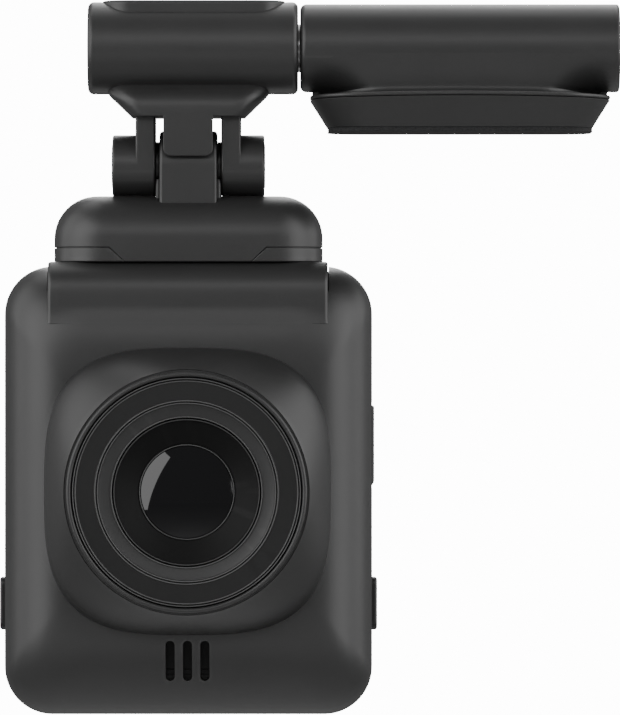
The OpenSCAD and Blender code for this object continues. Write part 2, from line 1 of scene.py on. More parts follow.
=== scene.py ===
# %% [markdown]
# # A dash camera that hangs from a magnetic head
# A small camera hangs by magnets from a head. The head tilts on a pin under a neck, and the
# neck swivels on a round foot that sticks to the windscreen. The sizes, places and joints come
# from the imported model. This notebook makes the surfaces that a hand and an eye would meet:
# soft moulded shells, fine parting lines, turned lens rings and a coated front glass.

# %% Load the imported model
import json
import math

import bmesh
import bpy
import numpy as np
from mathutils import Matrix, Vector

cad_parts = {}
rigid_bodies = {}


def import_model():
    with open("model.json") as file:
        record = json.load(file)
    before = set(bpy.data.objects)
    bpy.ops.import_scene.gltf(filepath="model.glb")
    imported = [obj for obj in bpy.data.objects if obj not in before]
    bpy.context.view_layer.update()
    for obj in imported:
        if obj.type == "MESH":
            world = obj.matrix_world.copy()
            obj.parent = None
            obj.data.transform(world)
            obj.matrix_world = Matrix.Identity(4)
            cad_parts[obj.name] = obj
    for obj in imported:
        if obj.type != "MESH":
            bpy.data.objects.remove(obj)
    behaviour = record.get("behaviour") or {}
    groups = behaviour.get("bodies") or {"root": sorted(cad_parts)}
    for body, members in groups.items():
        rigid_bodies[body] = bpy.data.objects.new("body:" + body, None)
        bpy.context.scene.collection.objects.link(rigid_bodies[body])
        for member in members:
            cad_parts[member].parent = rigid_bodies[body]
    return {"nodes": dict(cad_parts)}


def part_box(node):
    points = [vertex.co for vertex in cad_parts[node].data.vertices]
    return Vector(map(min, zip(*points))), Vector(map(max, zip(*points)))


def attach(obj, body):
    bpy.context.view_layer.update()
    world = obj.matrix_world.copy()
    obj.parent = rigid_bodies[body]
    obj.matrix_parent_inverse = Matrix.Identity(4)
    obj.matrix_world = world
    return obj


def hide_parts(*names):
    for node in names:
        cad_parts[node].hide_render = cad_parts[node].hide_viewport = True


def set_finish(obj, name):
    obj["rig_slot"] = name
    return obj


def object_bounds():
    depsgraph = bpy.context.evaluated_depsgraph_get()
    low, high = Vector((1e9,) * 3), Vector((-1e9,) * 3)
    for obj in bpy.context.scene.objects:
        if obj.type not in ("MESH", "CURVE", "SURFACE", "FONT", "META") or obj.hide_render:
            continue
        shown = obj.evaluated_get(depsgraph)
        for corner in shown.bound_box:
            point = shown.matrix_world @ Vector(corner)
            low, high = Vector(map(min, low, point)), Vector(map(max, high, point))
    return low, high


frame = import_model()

cad_box = [list(corner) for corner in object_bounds()]
MM = 0.001
print(len(frame["nodes"]), "nodes in", [[round(v / MM, 1) for v in c] for c in cad_box])

# %% [markdown]
# ## Places to measure from
# Every length below is in millimetres, because that is how a moulded part is drawn. The places
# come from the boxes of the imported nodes, so a piece lands where its solid is. The camera's own
# middle is the middle of its front glass, and the head, the camera and the hinge share one X.

# %% Read the places from the nodes
def span(node):
    """The lowest and highest corner of a node, in millimetres."""
    low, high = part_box(node)
    return np.array(low) / MM, np.array(high) / MM


def middle(node):
    low, high = span(node)
    return (low + high) / 2


lens_mid = middle("front_lens") * (1, 0, 1)
body_low, body_high = (corner - lens_mid for corner in span("front_shell"))
half_w, half_h = body_high[0], body_high[2]
rim_y, parting_y = body_low[1], body_high[1]
back_y = span("rear_cover")[1][1]
head_low, head_high = span("head_shell")
head_low, head_high = head_low - lens_mid * (1, 0, 0), head_high - lens_mid * (1, 0, 0)
dock_z = head_low[2]
collar_top = span("dock_housing")[1][2] - lens_mid[2]
hinge = middle("hinge_screw") * (0, 0, 1) + lens_mid * (1, 0, 0)
swivel = middle("swivel_axle") * (0, 0, 1)
print("body", half_w * 2, "x", half_h * 2, "rim at", rim_y, "hinge at", hinge.round(2))

# %% [markdown]
# ## The camera and the light
# A product like this is lit by soft boxes: a long one in front and above gives the quiet band
# along the two barrels, and two tall ones at each side light the rounded flanks. A long lens
# keeps the front square, as in a catalogue. The surroundings look white, yet light the object
# only faintly. The floor is far below, because the object hangs from a windscreen.

# %% Camera
FOCAL = 400
SENSOR = 36
VIEW_HEIGHT = 101.3 * MM
scene = bpy.context.scene
view_mid = Vector((-21.2, 0, -31.8)) * MM
eye = bpy.data.cameras.new("eye")
eye.lens = FOCAL
eye.sensor_width = SENSOR
eye.clip_start = 0.01
eye.clip_end = 50
camera = bpy.data.objects.new("eye", eye)
scene.collection.objects.link(camera)
camera.location = view_mid - Vector((0, VIEW_HEIGHT * FOCAL / SENSOR, 0))
camera.rotation_euler = (math.radians(90), 0, 0)
scene.camera = camera
print("camera at", [round(v, 3) for v in camera.location])


# %% Soft boxes
def soft_box(name, place, size, watts):
    """A rectangular lamp that faces the object and that the camera does not see."""
    lamp = bpy.data.lights.new(name, "AREA")
    lamp.shape = "RECTANGLE"
    lamp.size, lamp.size_y = size
    lamp.energy = watts
    holder = bpy.data.objects.new(name, lamp)
    scene.collection.objects.link(holder)
    holder.location = Vector(place)
    holder.rotation_euler = (view_mid - Vector(place)).to_track_quat("-Z", "Y").to_euler()
    holder.visible_camera = False
    return holder


def around_box(name, azimuth, height, distance, size, watts, roll=0.0):
    """A soft box at an azimuth from the front: left is negative."""
    turn = math.radians(azimuth)
    place = view_mid + Vector((distance * math.sin(turn), -distance * math.cos(turn), height))
    holder = soft_box(name, place, size, watts)
    holder.rotation_euler.rotate_axis("Z", math.radians(roll))
    return holder


strip = soft_box("front_strip", (0.0, -0.62, 0.27), (0.9, 0.13), 1.1)
around_box("left_box", -56, 0.22, 0.8, (0.74, 0.95), 7.2, -17)
around_box("right_box", 64, 0.22, 0.8, (0.62, 0.95), 6.2)
soft_box("top_box", (0.0, 0.3, 0.8), (1.0, 0.5), 3.0)
around_box("left_rear_box", -101, 0.3, 0.8, (0.36, 0.95), 2.4)
around_box("right_rear_box", 106, 0.3, 0.8, (0.46, 0.95), 2.9)
low = soft_box("low_box", (0.0, -0.9, -0.32), (1.2, 0.25), 1.0)
soft_box("back_box", (0.0, 1.2, 0.62), (0.5, 1.2), 9)

# %% [markdown]
# The floor is two discs. The upper one is what the eye sees, and it glows a little so that it
# looks white. The lower one is plain and unseen, and only throws the lamps' light back up.

# %% Surroundings and floor
world = bpy.data.worlds.new("studio")
scene.world = world
world.use_nodes = True
tree = world.node_tree
seen = tree.nodes.new("ShaderNodeBackground")
seen.inputs["Color"].default_value = (1, 1, 1, 1)
seen.inputs["Strength"].default_value = 14
around = tree.nodes["Background"]
around.inputs["Color"].default_value = (1, 1, 1, 1)
around.inputs["Strength"].default_value = 0.22
path = tree.nodes.new("ShaderNodeLightPath")
choice = tree.nodes.new("ShaderNodeMixShader")
tree.links.new(path.outputs["Is Camera Ray"], choice.inputs[0])
tree.links.new(around.outputs[0], choice.inputs[1])
tree.links.new(seen.outputs[0], choice.inputs[2])
tree.links.new(choice.outputs[0], tree.nodes["World Output"].inputs["Surface"])

FLOOR_DROP = 1.0
FLOOR_RADIUS = 5


def floor_disc(name, drop):
    """A wide plain disc under the object."""
    mesh = bpy.data.meshes.new(name)
    disc = bmesh.new()
    bmesh.ops.create_circle(disc, cap_ends=True, segments=96, radius=FLOOR_RADIUS)
    disc.to_mesh(mesh)
    disc.free()
    made = bpy.data.objects.new(name, mesh)
    made.location.z = cad_box[0][2] - drop
    scene.collection.objects.link(made)
    return made


floor = floor_disc("floor", FLOOR_DROP)
floor.visible_diffuse = False
floor.visible_glossy = False
floor.visible_shadow = False
bounce = floor_disc("floor_bounce", FLOOR_DROP + 0.01)
bounce.visible_camera = False
print("floor at", round(floor.location.z, 3))

# %% [markdown]
# ## How the shells are drawn
# A moulded shell is a stack of closed outlines, each a little smaller or further on than the
# last. Boxes with a subdivision surface would wobble round the corners, and a remesh would
# lose the crisp rims. So each shell is a loft: rings with the same number of points, joined by
# quads. Round parts are turned from a profile, and every profile has its corners rounded
# first, because real edges are never sharp and a soft edge is what catches the light.

# %% Outlines
def outline(width, height, radius, side=8, corner=10):
    """Points round a rectangle with round corners, anticlockwise."""
    radius = max(radius, 0.02)
    points = []
    for turn, (sx, sy) in enumerate([(1, 1), (-1, 1), (-1, -1), (1, -1)]):
        hub = np.array([sx * (width / 2 - radius), sy * (height / 2 - radius)])
        sweep = np.radians(90 * (turn + np.arange(corner + 1) / corner))
        points.append(hub + radius * np.stack([np.cos(sweep), np.sin(sweep)], 1))
    joined = []
    for arc, following in zip(points, points[1:] + points[:1]):
        joined.append(arc)
        along = (np.arange(1, side) / side)[:, None]
        joined.append(arc[-1] * (1 - along) + following[0] * along)
    return np.concatenate(joined)


def softened(points, radii, closed=True, steps=4):
    """The same outline with each corner turned into a small arc."""
    points = [np.array(p, float) for p in points]
    radii = radii if isinstance(radii, (list, tuple)) else [radii] * len(points)
    made = []
    for i, here in enumerate(points):
        if radii[i] == 0 or (not closed and i in (0, len(points) - 1)):
            made.append(here)
            continue
        back, on = points[i - 1] - here, points[(i + 1) % len(points)] - here
        room = 0.48 * min(np.linalg.norm(back), np.linalg.norm(on))
        back, on = back / np.linalg.norm(back), on / np.linalg.norm(on)
        half = math.acos(max(-1, min(1, float(back @ on)))) / 2
        if half > 1.55:
            made.append(here)
            continue
        reach = min(radii[i] / math.tan(half), room)
        radius = reach * math.tan(half)
        hub = here + (back + on) / np.linalg.norm(back + on) * radius / math.sin(half)
        first, last = here + back * reach - hub, here + on * reach - hub
        sweep = math.pi - 2 * half
        for k in range(steps + 1):
            t = k / steps
            weights = math.sin((1 - t) * sweep), math.sin(t * sweep)
            made.append(hub + (first * weights[0] + last * weights[1]) / math.sin(sweep))
    return np.array(made)


# %% Lofts, turned pieces and bars
def smooth(piece, sharp=38):
    """Smooth shading, with the edges kept that turn by more than sharp degrees."""
    piece.data.shade_smooth()
    piece.data.set_sharp_from_angle(angle=math.radians(sharp))


def piece_from(name, shape, sharp=38):
    """An object from a bmesh, which is used up."""
    mesh = bpy.data.meshes.new(name)
    shape.to_mesh(mesh)
    shape.free()
    piece = bpy.data.objects.new(name, mesh)
    scene.collection.objects.link(piece)
    smooth(piece, sharp)
    return piece


def loft(name, rings, joined=False, sharp=38):
    """Quads between rings of equal length, with flat ends or joined into a loop."""
    rings = [np.asarray(ring, float) for ring in rings]
    count = len(rings[0])
    faces = []
    for j in range(len(rings) if joined else len(rings) - 1):
        a, b = j * count, (j + 1) % len(rings) * count
        for i in range(count):
            k = (i + 1) % count
            faces.append((a + i, a + k, b + k, b + i))
    if not joined:
        faces.append(tuple(range(count)))
        faces.append(tuple(range((len(rings) - 1) * count, len(rings) * count)))
    shape = bmesh.new()
    corners = [shape.verts.new(point) for point in np.concatenate(rings) * MM]
    for face in faces:
        shape.faces.new([corners[number] for number in face])
    bmesh.ops.remove_doubles(shape, verts=shape.verts, dist=0.0005 * MM)
    bmesh.ops.recalc_face_normals(shape, faces=shape.faces)
    return piece_from(name, shape, sharp)


AXES = {"x": (1, 2, 0), "y": (0, 2, 1), "z": (0, 1, 2)}


def placed(flat, level, axis):
    """Flat points set at a level along an axis."""
    across, up, along = AXES[axis]
    made = np.zeros((len(flat), 3))
    made[:, across], made[:, up], made[:, along] = flat[:, 0], flat[:, 1], level
    return made


def turned(name, profile, axis, at=(0, 0, 0), count=192, joined=True, sharp=38):
    """A lathe piece: its profile is (radius, place along the axis)."""
    angles = np.arange(count) * 2 * math.pi / count
    circle = np.stack([np.cos(angles), np.sin(angles)], 1)
    rings = [placed(circle * max(r, 0.01), level, axis) + at for r, level in profile]
    return loft(name, rings, joined, sharp)


def quarter(steps):
    """A quarter round: how far it has left each of its two sides, from 0 to 1."""
    turns = [math.radians(90 * k / steps) for k in range(steps + 1)]
    return [(1 - math.cos(turn), 1 - math.sin(turn)) for turn in turns]


def bar(name, shape, low, high, axis, edge=0.25, at=(0, 0, 0), steps=4, low_round=True):
    """A shape run along an axis, whose ends are rounded. shape(inset) gives its points."""
    arc = quarter(steps)
    rings = [(edge * s, low + edge * c) for c, s in arc] if low_round else [(0, low)]
    rings += [(edge * s, high - edge * c) for c, s in reversed(arc)]
    return loft(name, [placed(shape(inset), level, axis) + at for inset, level in rings])


def cutter(shape, low, high, axis, at=(0, 0, 0)):
    """A bar with crisp edges that cuts another piece and is then gone."""
    return bar("cutter", shape, low, high, axis, 0.01, at, 1)


def rod(name, radius, low, high, axis, at, count=96, edge=0):
    """A full round bar."""
    profile = [(0.01, low), (radius, low), (radius, high), (0.01, high)]
    return turned(name, softened(profile, [0, edge, edge, 0]), axis, at, count, joined=False)


def mirrored(inner, outer):
    """The two ends of a bar on the left, then of its twin on the right."""
    return [(-outer, -inner), (inner, outer)]


def pill(width, height, radius, side=4, corner=8):
    """A rounded rectangle as a shape that can be drawn in."""
    return lambda inset: outline(
        width - 2 * inset, height - 2 * inset, max(radius - inset, 0.03), side, corner)


# %% Cuts with a rounded rim
RIM_STEPS = 3


def carve(piece, tools, rim=0.12, how="DIFFERENCE", sharp=30):
    """Cuts the tools out of a piece, or welds them on, and rounds the edge that this makes."""
    spare = [bpy.data.materials.new("own"), bpy.data.materials.new("tool")]
    for number, shape in enumerate([piece] + list(tools)):
        shape.data.materials.clear()
        for part in spare:
            shape.data.materials.append(part)
        marks = np.full(len(shape.data.polygons), int(number > 0), np.int32)
        shape.data.polygons.foreach_set("material_index", marks)
    for tool in tools:
        cut = piece.modifiers.new("cut", "BOOLEAN")
        cut.operation = how
        cut.object = tool
        cut.solver = "EXACT"
        keep_result(piece)
        bpy.data.objects.remove(tool)
    if rim:
        shape = bmesh.new()
        shape.from_mesh(piece.data)
        bmesh.ops.remove_doubles(shape, verts=shape.verts, dist=0.002 * MM)
        weight = shape.edges.layers.float.new("bevel_weight_edge")
        for edge in shape.edges:
            kinds = {face.material_index for face in edge.link_faces}
            if len(kinds) == 2 and edge.calc_face_angle(0) > math.radians(20):
                edge[weight] = 1
        shape.to_mesh(piece.data)
        shape.free()
        bevel = piece.modifiers.new("rim", "BEVEL")
        bevel.limit_method = "WEIGHT"
        bevel.width = rim * MM
        bevel.segments = RIM_STEPS
        keep_result(piece)
    piece.data.materials.clear()
    for part in spare:
        bpy.data.materials.remove(part)
    smooth(piece, sharp)
    return piece


def keep_result(piece):
    """Replaces a piece's mesh by what its modifiers make of it."""
    graph = bpy.context.evaluated_depsgraph_get()
    made = bpy.data.meshes.new_from_object(piece.evaluated_get(graph))
    piece.modifiers.clear()
    piece.data = made


def settle(piece, body, slot, *stands_for):
    """Gives a made piece its body, its slot and the nodes that it stands for."""
    even = piece.modifiers.new("even_shading", "WEIGHTED_NORMAL")
    even.keep_sharp = True
    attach(piece, body)
    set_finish(piece, slot)
    if stands_for:
        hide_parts(*stands_for)
    low, high = np.array(piece.bound_box[0]) / MM, np.array(piece.bound_box[6]) / MM
    print(f"{piece.name}: {len(piece.data.polygons)} faces, {(high - low).round(2)} mm")
    return piece


# %% [markdown]
# ## The body's front
# The front shell is one moulding: a cushion that rounds off further at its top and bottom than
# at its sides, with a swelling in the middle that starts as a bulging square and ends as a
# round rim. Rings run round the lens, and each point lies on a ray from the middle. For every
# ray the cushion's depth is found by halving, so the square's crease lies truly on the surface.

# %% The cushion's surface
FRONT_DEPTH = 11
CORNER = 6.8
ROUND_DEPTH = 10
SIDE_INSET = 9
TOP_INSET = 12
WALL = 1.8
CREASE_HALF = 20.15
CREASE_POWER = 3.1
rays = np.linspace(0, 2 * math.pi, 480, endpoint=False)


def reach_to(angles, half_width, half_height, radius):
    """How far each ray goes before it leaves a rectangle with round corners."""
    c, s = np.abs(np.cos(angles)), np.abs(np.sin(angles))
    kx, kz = half_width - radius, half_height - radius
    side = half_width / np.maximum(c, 1e-9)
    top = half_height / np.maximum(s, 1e-9)
    along = c * kx + s * kz
    corner = along + np.sqrt(np.maximum(along**2 - (kx**2 + kz**2 - radius**2), 0))
    return np.where(side * s <= kz, side, np.where(top * c <= kx, top, corner))


def cushion_reach(angles, lift, inset=0.0):
    """The outline of the cushion where its surface has turned by lift."""
    closing = 1 - np.cos(lift)
    return reach_to(angles, half_w - inset - SIDE_INSET * closing,
                    half_h - inset - TOP_INSET * closing, CORNER - inset - 2 * closing)


def cushion_y(angles, reach, inset=0.0):
    """The surface's depth at a distance from the middle."""
    low, high = np.zeros_like(reach), np.full_like(reach, math.pi / 2)
    for _ in range(36):
        lift = (low + high) / 2
        outside = cushion_reach(angles, lift, inset) > reach
        low, high = np.where(outside, lift, low), np.where(outside, high, lift)
    return -FRONT_DEPTH + inset + ROUND_DEPTH * (1 - np.sin(low))


def squircle_reach(angles, half, power):
    c, s = np.abs(np.cos(angles)), np.abs(np.sin(angles))
    return half / (c**power + s**power) ** (1 / power)


def ray_ring(reach, depth):
    """A ring of points on the rays."""
    reach = reach + np.zeros_like(rays)
    return np.stack([reach * np.cos(rays), depth + np.zeros_like(rays),
                     reach * np.sin(rays)], 1) + lens_mid


edge_reach = cushion_reach(rays, np.zeros_like(rays))
crease_reach = squircle_reach(rays, CREASE_HALF, CREASE_POWER)
crease_y = cushion_y(rays, crease_reach)
print("crease depth", crease_y.min().round(2), "to", crease_y.max().round(2))

# %% The front shell
RIM_OUT = 17.15
BEAD_MID = 16.47
BEAD = 0.34
CUSHION_STEPS = 28
FLANK_STEPS = 14
front_rings = [ray_ring(edge_reach - 0.14, parting_y), ray_ring(edge_reach, parting_y - 0.16)]
for level in (2, 1, 0):
    front_rings.append(ray_ring(edge_reach, level - 1.0))
for step in range(1, CUSHION_STEPS + 1):
    share = 1 - math.cos(math.radians(90 * step / CUSHION_STEPS))
    reach = edge_reach + (crease_reach - edge_reach) * share
    front_rings.append(ray_ring(reach, cushion_y(rays, reach)))
flank_top = rim_y + 0.5
for step in range(1, FLANK_STEPS + 1):
    rise = step / FLANK_STEPS
    reach = RIM_OUT + (crease_reach - RIM_OUT) * (1 - rise**1.45)
    front_rings.append(ray_ring(reach, crease_y + (flank_top - crease_y) * rise))
front_rings.append(ray_ring(RIM_OUT - 0.08, flank_top + 0.16))
front_rings.append(ray_ring(BEAD_MID + BEAD + 0.02, flank_top + 0.16))
for step in range(9):
    turn = math.radians(180 * step / 8)
    front_rings.append(ray_ring(BEAD_MID + BEAD * math.cos(turn),
                                rim_y + BEAD - BEAD * math.sin(turn)))
for reach, depth in [(16.1, rim_y + 0.7), (16.08, rim_y + 1.95), (14.05, rim_y + 2), (14, -8.2)]:
    front_rings.append(ray_ring(reach, depth))
inner_edge = cushion_reach(rays, np.zeros_like(rays), WALL)
for share in (0.98, 0.9, 0.75, 0.55, 0.3, 0.12, 0):
    reach = inner_edge + (15 - inner_edge) * share
    front_rings.append(ray_ring(reach, cushion_y(rays, reach, WALL)))
front_rings.append(ray_ring(inner_edge, parting_y))
front_shell = loft("front_moulding", front_rings, joined=True, sharp=30)
print("front shell", len(front_shell.data.polygons), "faces")

# %% [markdown]
# The moulding is then opened where the real one is: three sound slots under the lens, one
# window at each side for a button, the seat of the card's cover, and the notch that takes the
# collar. A boolean cut leaves a razor edge, which no moulding has, so each cut's rim is marked
# and rounded by a weighted bevel.

# %% Openings of the front shell
SLOT_Z = -23.8
BUTTON_Z = -16
BUTTON_Y = 0.2
cover_low, cover_high = (corner - lens_mid for corner in span("card_cover"))


sound_slots = [cutter(pill(1.28, 5.7, 0.63, 2, 8), -16, -6.5, "y", lens_mid + (x, 0, SLOT_Z))
               for x in (-2.44, 0, 2.44)]
windows = [cutter(pill(3.4, 7.9, 1.3), side * (half_w - 4), side * (half_w + 2), "x",
                  lens_mid + (0, BUTTON_Y, BUTTON_Z)) for side in (-1, 1)]
seat_z = (cover_low[2] + cover_high[2]) / 2
cover_seat = cutter(pill(4.4, 12.2, 0.35), half_w - 1.6, half_w + 2, "x",
                    lens_mid + (0, BUTTON_Y - 0.05, seat_z + 0.2))
PIN_X, PIN_Z, PIN_ROUND = half_w - 0.8, cover_low[2] + 1.1, 1.1
pin_pocket = cutter(pill(4.36, 2.5, 0.2), half_w - 2.3, half_w, "x",
                    lens_mid + (0, BUTTON_Y - 0.05, cover_low[2] + 1.15))
card_slot = cutter(pill(1.3, 11.2, 0.2), half_w - 4, half_w, "x",
                   lens_mid + (0, BUTTON_Y, seat_z + 0.3))
NOTCH_HALF = 19.85
NOTCH_FLOOR = collar_top - 4.2


def notch_tool(back):
    return cutter(pill(2 * NOTCH_HALF, back + 20, 0.3, 2, 2), NOTCH_FLOOR, collar_top + 4, "z",
                  lens_mid + (0, (back - 20) / 2, 0))


carve(front_shell, sound_slots, rim=0.16)
carve(front_shell, windows + [cover_seat], rim=0.14)
carve(front_shell, [pin_pocket, card_slot], rim=0)
carve(front_shell, [notch_tool(20)], rim=0.1)
settle(front_shell, "camera", "housing", "front_shell")

# %% [markdown]
# ## The collar
# The collar fills the notch and takes the head. Its face leans back at the top and runs down
# into the cushion without a line. A plain block would end in a step there, so each of its
# front points is the smooth nearer of two surfaces, its own face and the cushion.

# %% The collar
COLLAR_HALF = 19.7
COLLAR_LIP = 6.6
COLLAR_DEPTH = 9.95
COLLAR_FALL = 6.2
COLLAR_BACK = 7.8
COLLAR_FOOT = 23.6


def soft_least(a, b, width):
    """The smaller of two numbers, with the corner between them rounded."""
    mix = np.clip(0.5 + 0.5 * (b - a) / width, 0, 1)
    return b * (1 - mix) + a * mix - width * mix * (1 - mix)


def collar_ring(z, inset):
    fall = min(max((collar_top - z) / COLLAR_FALL, 0), 1)
    face = COLLAR_LIP + (COLLAR_DEPTH - COLLAR_LIP) * (1 - (1 - fall) ** 4) - inset
    depth = COLLAR_BACK - inset + face
    flat = outline(2 * (COLLAR_HALF - inset), depth, 0.55, 24, 6)
    x, y = flat[:, 0], flat[:, 1] + (COLLAR_BACK - inset - face) / 2
    angles, reach = np.arctan2(z, x), np.hypot(x, z)
    cushion = cushion_y(angles, reach) - 0.015
    nearer = soft_least(y, cushion, 0.55)
    y = np.where(flat[:, 1] < 0, nearer, y)
    return np.stack([x, y, np.full_like(x, z)], 1) + lens_mid


collar_rings = []
for inward, down in reversed(quarter(4)):
    collar_rings.append(collar_ring(collar_top - 0.35 * down, 0.35 * inward))
for z in np.linspace(collar_top - 0.6, COLLAR_FOOT, 40):
    collar_rings.append(collar_ring(z, 0))
collar = loft("collar", collar_rings, sharp=30)
pilot = cutter(pill(30.8, 9.8, 2.4), collar_top - 1.3, collar_top + 1, "z", lens_mid)
carve(collar, [pilot])
settle(collar, "camera", "housing", "dock_housing")

# %% [markdown]
# ## The body's back
# The rear cover is a shallow cup with a softly rounded rim. It is lofted outside and inside, so
# its wall is real, and then opened for the display, the four keys, the screws and the collar.

# %% The rear cover
BACK_ROUND = 3.2
WINDOW_Z = 8.2
KEY_Z = -17.5
KEY_X = (-15, -5, 5, 15)
SCREW_X, SCREW_Z = half_w - 4.8, half_h - 4.15


def body_ring(y, inset):
    return placed(outline(2 * (half_w - inset), 2 * (half_h - inset), CORNER - inset, 24, 14),
                  y, "y") + lens_mid


rear_rings = [body_ring(back_y - 1.6, WALL + 0.8), body_ring(back_y - 2.4, WALL),
              body_ring(parting_y + 0.1, WALL), body_ring(parting_y + 0.1, 0.14),
              body_ring(parting_y + 0.26, 0), body_ring(parting_y + 1.4, 0)]
for inward, down in quarter(12):
    rear_rings.append(body_ring(back_y - BACK_ROUND * down, BACK_ROUND * inward))
rear_cover = loft("rear_moulding", rear_rings, sharp=30)


def rear_tool(width, height, radius, floor_y, x=0.0, z=0.0):
    return cutter(pill(width, height, radius, 3, 8), floor_y, back_y + 3, "y",
                  lens_mid + (x, 0, z))


window_tools = [rear_tool(45.2, 34.2, 1.6, back_y - 0.95, 0, WINDOW_Z),
                rear_tool(41, 31, 1, back_y - 4, 0, WINDOW_Z)]
key_tools = [rear_tool(8.4, 4.6, 2.2, back_y - 4, x, KEY_Z) for x in KEY_X]
screw_places = [(x, z) for x in (-SCREW_X, SCREW_X) for z in (-SCREW_Z, SCREW_Z)]
screw_tools = [rear_tool(3.4, 3.4, 1.68, back_y - 1.2, x, z) for x, z in screw_places]
carve(rear_cover, window_tools[:1], rim=0.14)
carve(rear_cover, window_tools[1:], rim=0)
carve(rear_cover, key_tools + screw_tools, rim=0.18)
carve(rear_cover, [notch_tool(back_y - 1.2)], rim=0.08)
settle(rear_cover, "camera", "housing", "rear_cover")

# %% Screws with a cross recess
def screw_head(name, x, z):
    """A pan head with a cross cut in it, and its shank."""
    at = lens_mid + (x, 0, z)
    profile = softened([(0.01, back_y - 5), (0.74, back_y - 5), (0.74, back_y - 1.2),
                        (1.5, back_y - 1.2), (1.5, back_y - 0.62), (0.6, back_y - 0.3),
                        (0.01, back_y - 0.3)], [0, 0.1, 0, 0.05, 0.2, 0.4, 0])
    made = turned(name, profile, "y", at, 48, joined=False)
    arms = [cutter(pill(*arm, 0.05, 1, 2), back_y - 0.85, back_y, "y", at)
            for arm in ((1.7, 0.36), (0.36, 1.7))]
    return carve(made, arms, rim=0.04, sharp=38)


for number, (x, z) in enumerate(sorted(screw_places, key=lambda place: place[::-1])):
    settle(screw_head(f"body_screw_{number}", x, z), "camera", "steel", "body_screws")

# %% [markdown]
# ## Display, keys and side buttons
# The display sits under a thin pane whose edge is ground round. The keys are pills with a
# small raised mark each: bars, an upward and a downward wedge, and a ring. The side buttons are
# taller than they are deep and stand a little proud, so that a thumb finds them.

# %% The display's pane
pane_low, pane_high = (corner - lens_mid for corner in span("display_window"))
pane = bar("display_pane", pill(pane_high[0] - pane_low[0], pane_high[2] - pane_low[2], 1.5),
           pane_low[1], pane_high[1], "y", 0.16,
           lens_mid + (0, 0, (pane_low[2] + pane_high[2]) / 2))
settle(pane, "camera", "window", "display_window")


# %% The four keys
def key_marks(kind, x):
    """The raised mark on a key's face."""
    at = lens_mid + (x, 0, KEY_Z)
    low, high = back_y + 0.2, back_y + 0.47
    if kind == "menu":
        return [bar("mark", pill(2.2, 0.3, 0.14, 1, 4), low, high, "y", 0.06, at + (0, 0, dz))
                for dz in (-0.65, 0, 0.65)]
    if kind == "ok":
        ring = softened([(0.62, low), (0.95, low), (0.95, high), (0.62, high)], 0.05)
        return [turned("mark", ring, "y", at, 48)]
    tip = 0.75 if kind == "up" else -0.75
    corners = [(0, tip), (-1.0, -tip * 0.7), (1.0, -tip * 0.7)]

    def wedge(inset):
        return softened([(px * (1 - inset), pz * (1 - inset)) for px, pz in corners], 0.14)

    return [bar("mark", wedge, low, high, "y", 0.06, at)]


def join(name, parts):
    """One object from several."""
    shape = bmesh.new()
    for part in parts:
        shape.from_mesh(part.data)
    for part in parts:
        bpy.data.objects.remove(part)
    return piece_from(name, shape)


for kind, x in zip(("menu", "up", "down", "ok"), KEY_X):
    cap = bar("cap", pill(8, 4.2, 2), back_y - 2, back_y + 0.4, "y", 0.3,
              lens_mid + (x, 0, KEY_Z), 5)
    flange = bar("flange", pill(9.2, 5.4, 2.2), back_y - 2.4, back_y - 1.9, "y", 0.1,
                 lens_mid + (x, 0, KEY_Z))
    key = join(f"{kind}_key_cap", [cap, flange] + key_marks(kind, x))
    settle(key, f"{kind}_key", "dark_plastic", f"{kind}_key")

# %% The side buttons
BUTTON_PARTS = [(1.2, -0.72, 3.0, 7.5, 1.1, 0.42), (2.5, 1.1, 2.6, 7.1, 1.0, 0.05),
                (3.2, 2.4, 4.4, 9.0, 1.2, 0.1)]
for side, name in enumerate(("left_button", "right_button")):
    parts = [bar("part", pill(width, height, radius),
                 *mirrored(half_w - inner, half_w - outer)[side], "x", edge,
                 lens_mid + (0, BUTTON_Y, BUTTON_Z), 6)
             for inner, outer, width, height, radius, edge in BUTTON_PARTS]
    settle(join(f"{name}_cap", parts), name, "dark_plastic", name)

# %% The card's cover
def flap_shape(inset):
    """The flap from the side of the card: it is round about its pin, so it can swing."""
    turn = np.radians(np.linspace(-90, 0, 9))
    heel = np.stack([PIN_X + (PIN_ROUND - inset) * np.cos(turn),
                     PIN_Z + (PIN_ROUND - inset) * np.sin(turn)], 1)
    outer, top, inner = cover_high[0] - inset, cover_high[2] - inset, half_w - 1.4 + inset
    plate_part = softened([(outer, PIN_Z + 0.2), (outer, top), (inner, top), (inner, PIN_Z)],
                          [0, 0.35, 0.1, 0])
    return np.concatenate([heel, plate_part])


cover = bar("card_cover_flap", flap_shape, -1.85, 2.15, "y", 0.35, lens_mid, 5)
nail = rod("nail_tool", 0.34, -1.25, 1.25, "y",
           lens_mid + (cover_high[0] + 0.02, 0.15, cover_high[2] - 1.0), 24, 0.2)
carve(cover, [nail], rim=0.08, sharp=38)
pin = rod("pin", 0.4, -2.65, 2.85, "y", lens_mid + (PIN_X, 0, PIN_Z), 24, 0.08)
cover = join("card_cover_flap", [cover, pin])
settle(cover, "card_cover", "housing", "card_cover")

# %% [markdown]
# ## The rings and the front glass
# Between the rim and the glass sit four turned parts: a flat dark ring, a lighter cone, a deep
# dark hood and the barrel. Their chamfers are only a few tenths wide, and their highlights are
# the thin bright circles. Each is cut into the profile, and a painted highlight brightens its
# finish there.

# %% Turned rings
def ring_piece(name, profile, radii, slot, node):
    """A ring from (radius, depth behind the rim)."""
    profile = softened([(radius, rim_y + depth) for radius, depth in profile], radii)
    made = turned(name, profile, "y", lens_mid, 256, sharp=50)
    return settle(made, "camera", slot, node)


